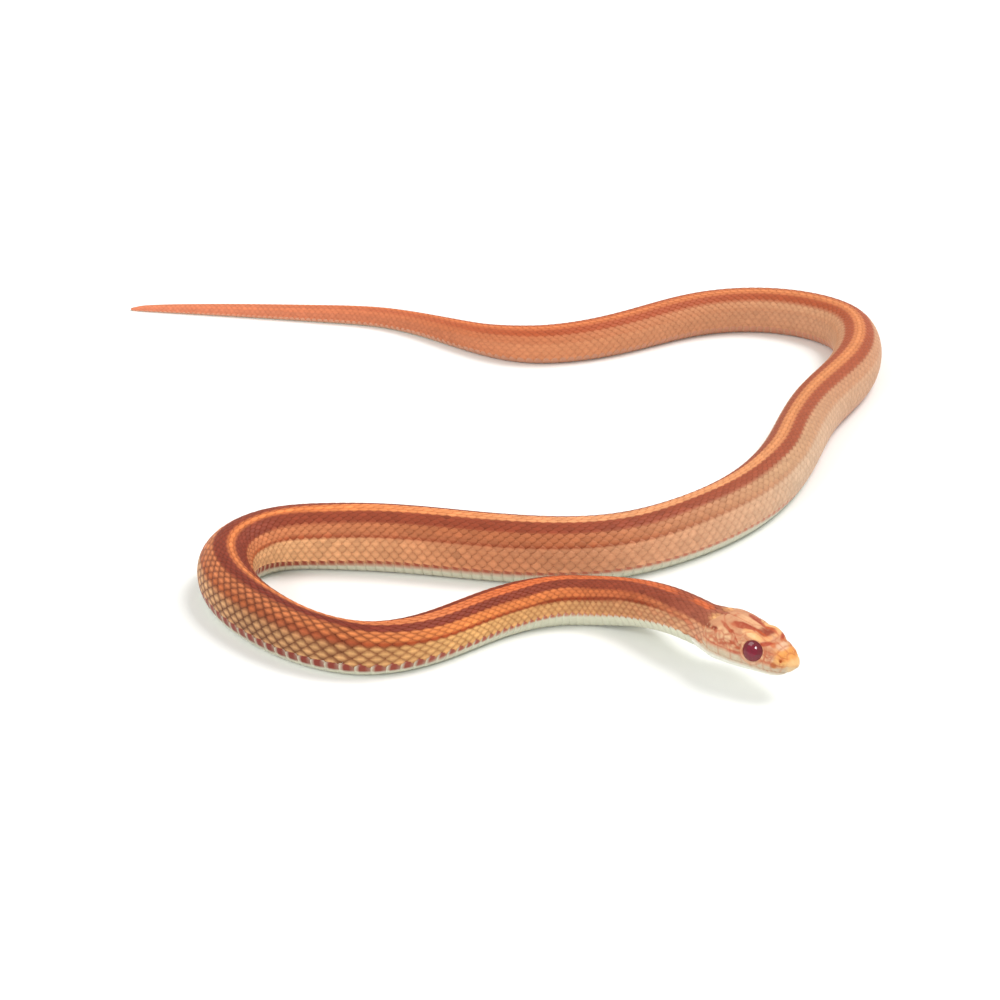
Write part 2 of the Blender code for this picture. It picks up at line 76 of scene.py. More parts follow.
def along(stations: Stations, at: Array) -> Array:
    """Value along stations of (place, value), as a cubic with no overshoot.

    The slope at a station is the harmonic mean of the slopes on either side of it, or zero where
    they change sign.

    Args:
        stations: Places and values in rising order of place.
        at: Places to read.

    Returns:
        The values there, held at the ends.
    """
    place, value = np.array(stations, float).T
    step = np.diff(place)
    slope = np.diff(value) / step
    product = slope[1:] * slope[:-1]
    total = np.where(product > 0, slope[1:] + slope[:-1], 1.0)
    inner = np.where(product > 0, 2 * product / total, 0.0)
    ends = np.concatenate([[slope[0]], inner, [slope[-1]]])
    at = np.clip(np.asarray(at, float), place[0], place[-1])
    i = np.clip(np.searchsorted(place, at, side="right") - 1, 0, len(step) - 1)
    t = (at - place[i]) / step[i]
    rise = value[i] + (value[i + 1] - value[i]) * t * t * (3 - 2 * t)
    return rise + step[i] * t * (1 - t) * (ends[i] * (1 - t) - ends[i + 1] * t)


def natural_spline(points: Stations, count: int) -> Array:
    """Points along the natural cubic spline through the given ones, spaced by chord length.

    Args:
        points: Points that the spline passes through.
        count: How many points to return.

    Returns:
        An array of count rows.
    """
    points = np.array(points, float)
    knots = np.concatenate([[0], np.cumsum(np.linalg.norm(np.diff(points, axis=0), axis=1))])
    gap = np.diff(knots)[:, None]
    system = np.eye(len(points))
    right = np.zeros_like(points)
    for i in range(1, len(points) - 1):
        system[i, i - 1 : i + 2] = gap[i - 1, 0], 2 * (gap[i - 1, 0] + gap[i, 0]), gap[i, 0]
        right[i] = 6 * ((points[i + 1] - points[i]) / gap[i] - (points[i] - points[i - 1]) / gap[i - 1])
    bend = np.linalg.solve(system, right)
    t = np.linspace(0, knots[-1], count)
    i = np.clip(np.searchsorted(knots, t, side="right") - 1, 0, len(gap) - 1)
    before = (t - knots[i])[:, None]
    after = (knots[i + 1] - t)[:, None]
    curve = (bend[i] * after**3 + bend[i + 1] * before**3) / (6 * gap[i])
    curve += (points[i] / gap[i] - bend[i] * gap[i] / 6) * after
    return curve + (points[i + 1] / gap[i] - bend[i + 1] * gap[i] / 6) * before


def smooth(low: float, high: float, x: Array) -> Array:
    """Rises softly from 0 at low to 1 at high."""
    t = np.clip((np.asarray(x, float) - low) / (high - low), 0, 1)
    return t * t * (3 - 2 * t)


def bell(x: Array, width: Array | float, centre: Array | float = 0.0, power: int = 2) -> Array:
    """A bell curve of height 1: e to the power of less the square, or fourth power, of x in widths."""
    return np.exp(-(((x - centre) / width) ** power))


def blend(under: Array, over: Array, share: Array) -> Array:
    """One colour laid over another, by a share of 0 to 1 for each place."""
    share = np.asarray(share)[..., None]
    return under * (1 - share) + over * share


def from_back(angle: Array) -> Array:
    """Degrees round from the middle of the back to either side, 0 to 180."""
    return np.abs((angle + 180) % 360 - 180)


def unit(v: Array) -> Array:
    """Rows scaled to length 1."""
    return v / np.maximum(np.linalg.norm(v, axis=-1, keepdims=True), 1e-12)


def linear(screen: Array | Station) -> Array:
    """Screen colours of 0 to 255 as linear light, by the standard curve of screens."""
    c = np.asarray(screen, float) / 255
    return np.where(c <= 0.04045, c / 12.92, ((c + 0.055) / 1.055) ** 2.4)


@dataclass(frozen=True)
class Form:
    """The snake's shape: its route, its girth and its head, as in the solids."""

    head_joint: float = 19.4
    rest_from: float = 46.0
    neck_lift: float = 3.9
    neck_droop: float = -1.3
    shift: Span = (0.7, -499.1)
    widest_share: float = 0.47
    belly_share: float = 0.58
    side_boxiness: float = 0.85
    crown_boxiness: float = 0.8
    crown_blend: float = 5.0
    snout_rounding: float = 4.2
    snout_power: float = 2.3
    chin_power: float = 2.6
    snout_height: float = 3.8
    snout_lip: float = 0.8
    chin_setback: float = 0.9
    belly_softness: float = 0.03
    # Least height over the floor
    floor_gap: float = 0.004
    # Steps along and round for the outward direction, in millimetres and degrees
    probe: float = 0.02
    probe_turn: float = 0.5
    # Half width under which the relief of plates shrinks, and the least share that it keeps
    slim_from: float = 4.0
    slimmest: float = 0.3
    route: Stations = (
        (50.7, 415.3), (43, 420.8), (35.2, 426.4), (29.7, 432.5), (24.1, 438.2), (15.8, 441.8),
        (5.2, 440.4), (-5.2, 433.6), (-13.6, 427.2), (-22.1, 424.4), (-32.2, 427.4), (-41, 435),
        (-47.6, 445.5), (-48.4, 455.2), (-42.5, 462.4), (-31, 464.1), (-16.3, 462.6), (1.8, 459.2),
        (18, 459.8), (33, 467.3), (46.1, 480.3), (55.5, 498.4), (63.7, 522.4), (72.1, 539.6), (75.2, 554.2),
        (73.6, 564.8), (66.8, 571.9), (56.5, 575.4), (43.5, 573.7), (28, 564.8), (14.9, 558.8),
        (5.3, 558.2), (-4.2, 562.5), (-15.1, 570.6), (-25, 576.3), (-38, 579.3), (-59.5, 582.6),
        (-82.4, 585.5),
    )
    girth: Stations = (
        (19.4, 7.2), (30, 7.6), (45, 8.2), (80, 8.4), (110, 9.4), (140, 10.8), (165, 11.6), (185, 11.5),
        (215, 10.8), (300, 10.5), (330, 9.6), (370, 8.6), (404, 7.5), (418, 6), (437, 4.4), (455, 3.6),
        (480, 2.4), (495, 1.35), (498.3, 0.6),
    )
    head_width: Stations = (
        (0, 3.6), (2, 4.3), (5, 5.2), (8, 5.05), (12.2, 4.2), (15, 3.65), (18, 2.9), (19.4, 2.6),
    )
    head_top: Stations = (
        (0, 7.2), (3, 7.4), (6, 7.6), (9, 7.5), (12.2, 7.1), (15, 6.3), (17.5, 5.5), (19.4, 5),
    )
    head_under: Stations = (
        (0, 0), (3, 0), (6, 0.25), (9, 0.5), (12.2, 0.8), (15, 1.1), (17.5, 1.4), (19.4, 1.6),
    )
    samples: int = 6001
    table: dict[str, Array] = field(default_factory=dict)

    def __post_init__(self) -> None:
        """Works out the line of the belly and its direction, by distance behind the snout."""
        plan = natural_spline(self.route, self.samples) + np.array(self.shift)
        place = np.concatenate([[0], np.cumsum(np.linalg.norm(np.diff(plan, axis=0), axis=1))])
        ramp = self.rest_from - self.head_joint
        u = np.clip((self.rest_from - place) / ramp, 0, 1)
        lift = self.neck_lift * (3 * u**2 - 2 * u**3) + self.neck_droop * (u**3 - u**2)
        lift += np.maximum(self.head_joint - place, 0) * self.neck_droop / ramp
        line = np.column_stack([plan, lift])
        self.table["place"] = place
        self.table["line"] = line
        self.table["ahead"] = unit(-np.gradient(line, place, axis=0))

    @property
    def length(self) -> float:
        """Distance from the snout to the tail tip along the belly."""
        return float(self.girth[-1][0])

    def axes(self, at: Array) -> tuple[Array, Array, Array, Array]:
        """Belly point, forward, left and up at each distance. The head is straight in front of its joint.

        Args:
            at: Distances behind the snout.

        Returns:
            Four arrays of points and directions.
        """
        held = np.maximum(at, self.head_joint)
        place, line, ahead = (self.table[k] for k in ("place", "line", "ahead"))
        point = np.stack([np.interp(held, place, line[:, k]) for k in range(3)], -1)
        forward = unit(np.stack([np.interp(held, place, ahead[:, k]) for k in range(3)], -1))
        left = unit(np.cross([0.0, 0.0, 1.0], forward))
        point = point + forward * (held - at)[..., None]
        return point, forward, left, np.cross(forward, left)

    def sizes(self, at: Array) -> tuple[Array, Array, Array, Array, Array]:
        """Half width, underside, top, boxiness, and height of the widest line of the section.

        On the body the section is as wide as it is high. On the head all follow the head's own
        stations, drawn in to a round snout by the square root of one less a power.

        Args:
            at: Distances behind the snout.

        Returns:
            Five arrays.
        """
        at = np.asarray(at, float)
        body = along(self.girth, at)
        x = self.head_joint - at
        start = self.head_joint - self.snout_rounding
        nose = np.clip((x - start) / self.snout_rounding, 0, 1)
        chin = np.clip((x - start) / (self.snout_rounding - self.chin_setback), 0, 1)
        over = np.sqrt(np.maximum(1 - nose**self.snout_power, 0))
        under = np.sqrt(np.maximum(1 - chin**self.chin_power, 0))
        tip = self.snout_height - self.snout_lip
        ahead = at < self.head_joint
        boxiness = 1 + (self.crown_boxiness - 1) * smooth(0, self.crown_blend, x)
        half = np.where(ahead, along(self.head_width, x) * over, body / 2)
        bottom = np.where(ahead, tip + (along(self.head_under, x) - tip) * under, 0.0)
        crown = self.snout_height + (along(self.head_top, x) - self.snout_height) * over
        top = np.where(ahead, crown, body)
        return half, bottom, top, np.where(ahead, boxiness, 1.0), bottom + self.widest_share * (top - bottom)

    def slim(self, at: Array) -> Array:
        """Share of their height that plates keep: 1, and less towards the tail tip and the snout."""
        return np.clip(self.sizes(at)[0] / self.slim_from, self.slimmest, 1)

    def section(self, at: Array, angle: Array) -> tuple[Array, Array]:
        """Offset to the left and height of the surface over the belly line.

        The upper half is a superellipse. The lower half is one too, and it flattens softly where it
        meets the floor.

        Args:
            at: Distances behind the snout.
            angle: Angles round from the middle of the back, in degrees, rising to the left.

        Returns:
            Offset and height.
        """
        half, bottom, top, box, middle = self.sizes(at)
        turn = np.radians(angle)
        across, upward = np.sin(turn), np.cos(turn)
        over = np.maximum(upward, 0) ** box
        side_power = np.where(upward >= 0, box, self.side_boxiness)
        side = half * np.sign(across) * np.abs(across) ** side_power
        fall = middle - bottom + self.belly_share * (top - bottom) * np.minimum(upward, 0)
        soft = self.belly_softness * (top - bottom)
        under = bottom + (fall + np.sqrt(fall * fall + soft * soft)) / 2
        return side, np.where(upward >= 0, middle + (top - middle) * over, np.minimum(under, middle))

    def bare(self, at: Array, angle: Array) -> Array:
        """Point of the surface at a distance behind the snout and an angle.

        Args:
            at: Distances behind the snout.
            angle: Degrees from the middle of the back.

        Returns:
            Points.
        """
        side, height = self.section(at, angle)
        point, _, left, up = self.axes(at)
        return point + left * side[..., None] + up * height[..., None]

    def outward(self, at: Array, angle: Array) -> Array:
        """Outward direction: the cross product of the steps round and along the surface.

        Args:
            at: Distances behind the snout.
            angle: Degrees from the middle of the back.

        Returns:
            Directions of length 1.
        """
        base = self.bare(at, angle)
        back = np.minimum(at + self.probe, self.length)
        step = np.where(back > at, 1.0, -1.0)
        back = np.where(back > at, back, at - self.probe)
        round_step = self.bare(at, angle + self.probe_turn) - self.bare(at, angle - self.probe_turn)
        along_step = (self.bare(back, angle) - base) * step[..., None]
        normal = np.cross(round_step, along_step)
        tiny = np.linalg.norm(normal, axis=-1, keepdims=True) < 1e-7
        return np.where(tiny, self.axes(at)[1], unit(normal))

    def point(self, at: Array, angle: Array, raised: Array | float = 0.0) -> Array:
        """Point of the surface, raised along its outward direction and never under the floor.

        Args:
            at: Distances behind the snout.
            angle: Degrees from the middle of the back.
            raised: Heights over the form.

        Returns:
            Points.
        """
        at, angle = np.broadcast_arrays(np.asarray(at, float), np.asarray(angle, float))
        found = self.bare(at, angle) + self.outward(at, angle) * np.asarray(raised)[..., None]
        found[..., 2] = np.maximum(found[..., 2], self.floor_gap)
        return found

    def head_place(self, at: Array, angle: Array) -> Array:
        """The surface in the head's own frame: behind the snout, distance from the middle, height."""
        side, height = self.section(at, angle)
        return np.stack([at, np.abs(side), height], -1)

    def crown_angle(self, at: Array, offset: Array) -> Array:
        """Angle of the point of the upper side at an offset from the middle line."""
        half, _, _, box, _ = self.sizes(at)
        return np.degrees(np.arcsin(np.clip(np.asarray(offset) / half, 0, 1) ** (1 / box)))

    def cheek_angle(self, at: Array, height: Array) -> Array:
        """Angle of the point of the side of the head at a height.

        Args:
            at: Distances behind the snout.
            height: Heights in the frame of the head.

        Returns:
            Degrees from the middle of the back.
        """
        _, bottom, top, box, middle = self.sizes(at)
        over = np.clip((height - middle) / (top - middle), 0, 1) ** (1 / box)
        under = np.clip((middle - height) / (self.belly_share * (top - bottom)), 0, 1)
        return np.degrees(np.where(height >= middle, np.arccos(over), np.arccos(-under)))

    def chin_angle(self, at: Array, offset: Array) -> Array:
        """Angle of the point of the underside at an offset from the middle line."""
        across = np.clip(np.asarray(offset) / self.sizes(at)[0], 0, 1) ** (1 / self.side_boxiness)
        return 180 - np.degrees(np.arcsin(across))


@dataclass(frozen=True)
class Counts:
    """Spacing of the belly scutes, which also sets the length of the scales, and the rows of scales."""

    scutes: Stations = (
        (19.4, 1.5), (60, 1.55), (94, 2.2), (112, 2.2), (128, 1.85), (200, 1.8), (330, 1.75), (406, 1.55),
        (500, 1),
    )
    first_edge: float = 19.55
    before_joint: int = 5
    vent: float = 406.0
    half_rows: int = 13
    crowding: float = 0.8
    # How far round the last row of scales reaches, in degrees, by distance behind the snout
    edge_angle: Stations = (
        (20, 98), (30, 104), (38, 98), (48, 94), (60, 101), (80, 103), (93, 101), (110, 100), (122, 96),
        (134, 102), (148, 112), (165, 107), (195, 107), (212, 109), (232, 108), (252, 114), (404, 114),
        (430, 106),
    )
    # How far the pattern leans to the left round the body, in degrees
    lean: Stations = (
        (20, -3), (28, -1), (39, 8), (49, 5), (60, -8), (73, -8), (87, 9), (95, 24), (104, 27), (119, 18),
        (135, 10), (150, 7), (162, 2), (210, -3), (226, -10), (254, -9), (266, -15), (290, -1), (315, 3),
        (340, -8), (410, -8), (440, 0),
    )
    lean_fade: Span = (30, 104)
    # Row, where it comes in and where it ends, by distance behind the snout
    part_rows: tuple[tuple[int, float, float], ...] = (
        (5, 88, 999), (6, -99, 245), (4, -99, 318), (9, -99, 372), (12, -99, 408), (3, -99, 415),
        (10, -99, 422), (7, -99, 431), (2, -99, 443), (8, -99, 460), (11, -99, 480),
    )
    fade: float = 6.0

    def scute_edges(self, end: float) -> Array:
        """Distances of the front edges of the belly scutes, evened out to end at the tail tip.

        Args:
            end: Where the last scute ends.

        Returns:
            Rising distances, with a few before the joint of the head.
        """
        edges = [self.first_edge]
        while edges[-1] < end:
            edges.append(edges[-1] + float(along(self.scutes, np.array(edges[-1]))))
        spread = (np.array(edges) - edges[0]) * (end - edges[0]) / (edges[-1] - edges[0]) + edges[0]
        ahead = spread[0] - (spread[1] - spread[0]) * np.arange(self.before_joint, 0, -1)
        return np.concatenate([ahead, spread])

    def presence(self, row: int, at: Array) -> Array:
        """How much of a row is there, from 0 to 1.

        Args:
            row: Which row, counted from the middle of the back.
            at: Distances behind the snout.

        Returns:
            Shares of the row.
        """
        share = np.ones_like(at)
        for part, start, end in self.part_rows:
            if part == row:
                share = smooth(start, start + self.fade, at) * (1 - smooth(end, end + self.fade, at))
        return share

    def leant(self, at: Array, angle: Array) -> Array:
        """Angle on the form of a place in the pattern. The lean fades out down the flanks."""
        return angle + along(self.lean, at) * (1 - smooth(*self.lean_fade, np.abs(angle)))

    def upright(self, at: Array, angle: Array) -> Array:
        """Angle in the pattern of a place on the form, by a few steps of trial.

        Args:
            at: Distances behind the snout.
            angle: Degrees from the middle of the back.

        Returns:
            Degrees in the pattern.
        """
        found = angle
        for _ in range(6):
            found = found + 0.6 * (angle - self.leant(at, found))
        return found


class Band(Enum):
    """The bands of colour from the middle of the back to the belly."""

    STRIPE = "stripe"
    DARK = "dark"
    MIDDLE = "middle"
    LINE = "line"
    LIGHT = "light"
    SPOT = "spot"
    SEAM = "seam"


class Chart(Enum):
    """How a place on the head is given: behind the snout, and then one more distance."""

    CROWN = "offset from the middle line, on top"
    CHEEK = "height, on the side"
    CHIN = "offset from the middle line, below"


# Colours of the bands by distance behind the snout
BANDS: dict[Band, Stations] = {
    Band.STRIPE: (
        (20, 200, 100, 60), (60, 208, 106, 58), (80, 216, 126, 78), (150, 226, 130, 74),
        (200, 220, 150, 104), (285, 212, 136, 88), (440, 210, 114, 70), (498, 222, 138, 100),
    ),
    Band.DARK: (
        (18, 154, 86, 66), (26, 138, 66, 48), (60, 128, 53, 33), (100, 120, 49, 38), (150, 140, 64, 43),
        (200, 140, 63, 41), (270, 158, 80, 54), (400, 172, 83, 50), (498, 214, 132, 100),
    ),
    Band.MIDDLE: (
        (20, 204, 134, 94), (32, 182, 96, 58), (70, 230, 136, 74), (108, 198, 116, 74), (145, 206, 128, 86),
        (176, 176, 103, 67), (195, 178, 104, 68), (245, 190, 146, 112), (290, 190, 138, 106),
        (340, 201, 146, 110), (420, 192, 110, 72), (498, 232, 136, 100),
    ),
    Band.LINE: (
        (20, 190, 110, 76), (30, 134, 54, 28), (75, 174, 74, 38), (104, 168, 88, 52), (124, 196, 108, 64),
        (145, 186, 94, 60), (200, 172, 86, 54), (250, 190, 140, 108), (340, 196, 134, 98),
        (420, 190, 110, 74), (498, 226, 124, 88),
    ),
    Band.LIGHT: (
        (20, 202, 152, 114), (34, 188, 134, 92), (70, 230, 174, 110), (104, 186, 138, 95),
        (145, 234, 178, 128), (182, 202, 134, 95), (215, 212, 156, 120), (250, 202, 168, 140),
        (350, 192, 136, 102), (400, 206, 134, 94), (425, 186, 110, 76), (498, 222, 132, 100),
    ),
    Band.SPOT: (
        (20, 210, 160, 134), (60, 172, 92, 74), (100, 128, 54, 44), (170, 156, 78, 58), (230, 194, 122, 96),
        (400, 198, 142, 116), (498, 228, 164, 134),
    ),
    Band.SEAM: (
        (20, 150, 76, 52), (80, 122, 54, 30), (106, 74, 28, 18), (128, 104, 48, 32), (150, 144, 74, 46),
        (250, 188, 120, 88), (498, 190, 100, 72),
    ),
}
# Where each band starts, in degrees of the pattern, by distance behind the snout
STARTS: dict[Band, Stations] = {
    Band.DARK: ((20, 12), (100, 12), (118, 8), (138, 8), (160, 12)),
    Band.MIDDLE: ((20, 54), (30, 46), (39, 45), (54, 38), (95, 36), (146, 38)),
    Band.LINE: ((20, 64), (32, 62), (84, 60), (96, 56), (114, 56), (130, 61)),
    Band.LIGHT: ((20, 70), (84, 67), (96, 70), (114, 70), (130, 67.5), (250, 65)),
}
# How strongly the seams between the scales show on each band, and by distance behind the snout
SEAMS: dict[Band, float] = {
    Band.STRIPE: 0.22, Band.DARK: 0.36, Band.MIDDLE: 0.68, Band.LINE: 0.66, Band.LIGHT: 0.74,
}
SEAM_PLACES: Stations = (
    (20, 0.6), (36, 0.5), (56, 0.42), (74, 0.56), (92, 1.1), (122, 1.15), (136, 0.36), (160, 0.34),
    (215, 0.3), (260, 0.1), (498, 0.1),
)
# How strongly a thin dark line shows along the flank, by distance behind the snout
THREAD: Stations = (
    (24, 0), (32, 0.85), (84, 0.8), (96, 0.3), (114, 0.3), (132, 0.9), (200, 0.8), (225, 0.5), (255, 0),
)


@dataclass(frozen=True)
class Blotch:
    """A soft-edged oval mark on the head, on both sides.

    Its centre is a distance behind the snout and an angle from the middle of the crown. Its reach
    is in millimetres, and its turn in degrees.
    """

    centre: Span
    reach: Span
    colour: Colour
    turn: float = 0.0
    strength: float = 0.9
    soft: float = 0.3
    degree: float = 0.085

    def share(self, behind: Array, turned: Array, ripple: Array) -> Array:
        """How much of the mark lies at a place: its strength inside an oval with a rippled edge.

        Args:
            behind: Distances behind the snout.
            turned: Degrees from the middle of the crown.
            ripple: What is added to the distance from the centre, in shares of the reach.

        Returns:
            Shares from 0 to 1.
        """
        turn = math.radians(self.turn)
        x, y = behind - self.centre[0], (turned - self.centre[1]) * self.degree
        x, y = x * math.cos(turn) + y * math.sin(turn), y * math.cos(turn) - x * math.sin(turn)
        r = np.hypot(x / self.reach[0], y / self.reach[1]) + ripple
        return self.strength * (1 - smooth(1 - self.soft, 1 + self.soft, r))


@dataclass(frozen=True)
class Markings:
    """The snake's colours by place, the same for the skin and the scales."""

    counts: Counts = field(default_factory=Counts)
    # Half the soft edge between bands in degrees, and how much softer it is far off and in the loop
    softness: float = 2.2
    far: Span = (210, 300)
    far_softness: float = 1.6
    loop: tuple[float, float, float, float] = (82, 96, 114, 128)
    loop_softness: float = 1.8
    # Belly scutes: the spots' depth in degrees, their ends on a scute, and the light gaps between them
    # Painted shade: the belly's own pale colour is greyed and tinted green, as it looks in its shadow on the floor
    belly: Colour = (208, 207, 186)
    spot_depth: Stations = ((20, 3), (60, 11), (88, 23), (112, 26), (150, 12), (230, 9), (280, 34))
    spot_front: Span = (0, 0.14)
    spot_rear: Span = (0.8, 0.95)
    spot_soft: float = 3.0
    light_gaps: Stations = ((20, 0.2), (90, 0.15), (125, 0.3), (150, 0.9), (230, 0.7), (280, 0.85))
    gap_soft: float = 5.0
    thread_width: float = 3.2
    thread_tone: float = 0.78
    # The nape is dark up to a collar, which slants back down the sides, and again over a patch behind
    collar: float = 17.9
    collar_slant: float = 0.05
    nape: Span = (21.7, 25.2)
    nape_share: float = 0.8
    nape_sides: Span = (50, 60)
    edge_soft: float = 0.6
    # A light spot on each side of the nape: its place, its reach, its colour and its strength
    light_place: Span = (15.8, 21)
    light_reach: Span = (1, 12)
    light_spot: Colour = (242, 182, 122)
    light_share: float = 0.95
    # The cheeks' colour fades out over these distances, and starts over these angles
    cheek_end: Span = (18.6, 21.5)
    cheek_sides: Span = (56, 64)
    head_tone: float = 0.9
    head_lean: float = 4.0
    head_lean_fade: Span = (20, 60)
    crown_end: Span = (38, 66)
    lips_start: Span = (84, 94)
    chin_height: Span = (1.3, 2.6)
    ripple: float = 0.1
    crown: Colour = (210, 150, 113)
    cheek: Colour = (208, 154, 120)
    lips: Colour = (202, 184, 158)
    chin: Colour = (240, 238, 226)
    suture: Colour = (176, 86, 58)
    mouth: Colour = (172, 108, 88)
    nostril: Colour = (176, 84, 40)
    blotches: tuple[Blotch, ...] = (
        Blotch((1.3, 20), (2, 5), (238, 158, 74), 0, 0.85, 0.45),
        Blotch((1.4, 62), (1.3, 1.6), (246, 190, 122), 0, 0.7, 0.5),
        Blotch((0.2, 60), (0.7, 9), (246, 204, 150), 0, 0.6, 0.5),
        Blotch((3.35, 2), (0.7, 1.5), (234, 190, 156), 0, 0.8, 0.4),
        Blotch((1.85, 46), (0.5, 0.8), (208, 112, 52), 0, 0.75, 0.6),
        Blotch((2.65, 82), (0.5, 0.9), (184, 100, 50), 0, 0.85, 0.5),
        Blotch((3.9, 50), (0.9, 1.5), (200, 126, 94), 0, 0.7, 0.6),
        Blotch((3.3, 62), (0.4, 0.8), (232, 196, 160), 0, 0.7, 0.6),
        Blotch((4.8, 20), (1.5, 0.36), (196, 98, 60), 67, 0.85, 0.5),
        Blotch((4.4, 20), (0.6, 0.6), (204, 106, 58), 0, 0.8, 0.4),
        Blotch((6.1, 13), (0.9, 0.9), (244, 172, 112), 0, 0.85, 0.4),
        Blotch((5.3, 27), (1.25, 0.46), (174, 64, 38), 62, 0.95, 0.35),
        Blotch((7.2, 3), (1.15, 1.1), (150, 58, 38), 0, 0.95, 0.3),
        Blotch((7.8, 10), (1.9, 0.22), (192, 84, 42), 0, 0.85, 0.5),
        Blotch((10.5, 16), (2.2, 0.84), (174, 78, 54), 13, 0.95, 0.22),
        Blotch((9.6, 9), (1.8, 0.16), (160, 60, 38), 6, 0.8, 0.5),
        Blotch((10.6, 3), (2.4, 0.3), (240, 186, 142), 0, 0.7, 0.6),
        Blotch((7.9, 25), (1.95, 0.9), (248, 184, 124), 4, 0.95, 0.3),
        # Painted highlight on the raised shield over the eye
        Blotch((8.4, 29), (1.4, 0.42), (252, 208, 160), 4, 0.6, 0.6),
        Blotch((12, 26), (0.9, 0.4), (202, 118, 84), -20, 0.6, 0.6),
        Blotch((11.6, 41), (0.55, 0.36), (160, 60, 38), 10, 0.9, 0.4),
        Blotch((13, 35), (1.4, 0.3), (176, 82, 56), -24, 0.85, 0.5),
        Blotch((14.5, 50), (0.56, 0.46), (128, 38, 28), 0, 0.95, 0.4),
        Blotch((16.4, 50), (1.8, 0.5), (132, 54, 38), 0, 0.85, 0.5),
        Blotch((12.9, 46), (1.3, 0.4), (234, 186, 142), -16, 0.7, 0.5),
        Blotch((10.6, 66), (0.7, 0.42), (166, 66, 42), 0, 0.9, 0.5),
        Blotch((9.6, 72), (1.3, 0.3), (184, 92, 64), -28, 0.85, 0.5),
        Blotch((12, 76), (1, 0.34), (178, 88, 64), 30, 0.8, 0.5),
        Blotch((14.3, 72), (1.2, 0.4), (196, 116, 86), -18, 0.7, 0.6),
        Blotch((13.2, 84), (1.3, 0.26), (196, 114, 90), 4, 0.7, 0.6),
        Blotch((9.6, 86), (1.4, 0.3), (190, 100, 78), 2, 0.8, 0.5),
        Blotch((12.2, 56), (1.5, 0.36), (236, 190, 148), -12, 0.75, 0.5),
        Blotch((13.6, 3), (0.3, 0.2), (200, 116, 84), 0, 0.7, 0.5),
        Blotch((9.95, 54), (1.8, 0.13), (172, 80, 56), -46, 0.8, 0.5),
    )

    def tint(self, band: Band, at: Array) -> Array:
        """A band's colour by distance behind the snout."""
        rows = np.array(BANDS[band], float)
        return linear(np.stack([np.interp(at, rows[:, 0], rows[:, k]) for k in (1, 2, 3)], -1))

    def shares(self, at: Array, turned: Array) -> dict[Band, Array]:
        """How much of each band lies at a place, in drawing order: each covers the ones before it.

        Args:
            at: Distances behind the snout.
            turned: Degrees from the middle of the back to either side.

        Returns:
            The shares of each band, from 0 to 1.
        """
        start, full, last, end = self.loop
        loop = smooth(start, full, at) * (1 - smooth(last, end, at))
        blur = self.softness * (1 + self.far_softness * smooth(*self.far, at) + self.loop_softness * loop)
        return {band: smooth(-1, 1, (turned - along(starts, at)) / blur) for band, starts in STARTS.items()}

    def body(self, at: Array, angle: Array) -> Array:
        """Colour of the back and flanks.

        Args:
            at: Distances behind the snout.
            angle: Degrees from the middle of the back, in the pattern.

        Returns:
            Linear colours, one row each.
        """
        turned = np.abs(angle)
        colour = self.tint(Band.STRIPE, at)
        for band, share in self.shares(at, turned).items():
            colour = blend(colour, self.tint(band, at), share)
        soft = self.edge_soft
        nape = smooth(-soft, soft, at - self.nape[0]) * (1 - smooth(-1, 1, at - self.nape[1]))
        collar = 1 - smooth(-soft, soft, at - self.collar - self.collar_slant * turned)
        dark = np.maximum(self.nape_share * nape, collar) * (1 - smooth(*self.nape_sides, turned))
        colour = blend(colour, self.tint(Band.DARK, at), dark)
        cheek = smooth(*self.cheek_sides, turned) * (1 - smooth(*self.cheek_end, at))
        colour = blend(colour, linear(self.cheek), cheek)
        (place, side), (reach, spread) = self.light_place, self.light_reach
        light = self.light_share * bell(at, reach, place) * bell(turned, spread, side)
        return blend(colour, linear(self.light_spot), light)

    def threaded(self, colour: Array, at: Array, angle: Array) -> Array:
        """A colour of the flank with the thin line drawn over it, between the middle and light bands.

        Args:
            colour: Linear colours, one row each.
            at: Distances behind the snout.
            angle: Degrees from the middle of the back.

        Returns:
            Linear colours, one row each.
        """
        middle = (along(STARTS[Band.LINE], at) + along(STARTS[Band.LIGHT], at)) / 2
        share = along(THREAD, at) * bell(np.abs(angle), self.thread_width, middle)
        return blend(colour, self.thread_tone * self.tint(Band.LINE, at), share)

    def seam(self, at: Array, angle: Array) -> Array:
        """How strongly the seams between the scales show.

        Args:
            at: Distances behind the snout.
            angle: Degrees from the middle of the back.

        Returns:
            Shares from 0 to 1.
        """
        strength = np.full(np.shape(at), SEAMS[Band.STRIPE])
        for band, share in self.shares(at, np.abs(angle)).items():
            strength = strength * (1 - share) + SEAMS[band] * share
        return np.clip(strength * along(SEAM_PLACES, at), 0, 1)

    def below(self, at: Array, angle: Array, share: Array) -> Array:
        """Colour of a belly scute: pale and greyed by painted shade, with a dark spot at each upturned end.

        Args:
            at: Distances behind the snout.
            angle: Degrees from the middle of the back.
            share: Place on the scute, from 0 at its front edge to 1 at its rear edge.

        Returns:
            Linear colours, one row each.
        """
        turned = from_back(angle) - along(self.counts.edge_angle, at)
        depth = along(self.spot_depth, at)
        near = 1 - smooth(depth - self.gap_soft, depth + self.gap_soft, turned)
        # The pale ground takes the belly's colour, which holds painted shade
        pale = blend(linear(self.belly), self.tint(Band.LIGHT, at), along(self.light_gaps, at) * near)
        spot = smooth(*self.spot_front, share) * (1 - smooth(*self.spot_rear, share))
        spot = spot * (1 - smooth(depth - self.spot_soft, depth + self.spot_soft, turned))
        return blend(pale, self.tint(Band.SPOT, at), spot)

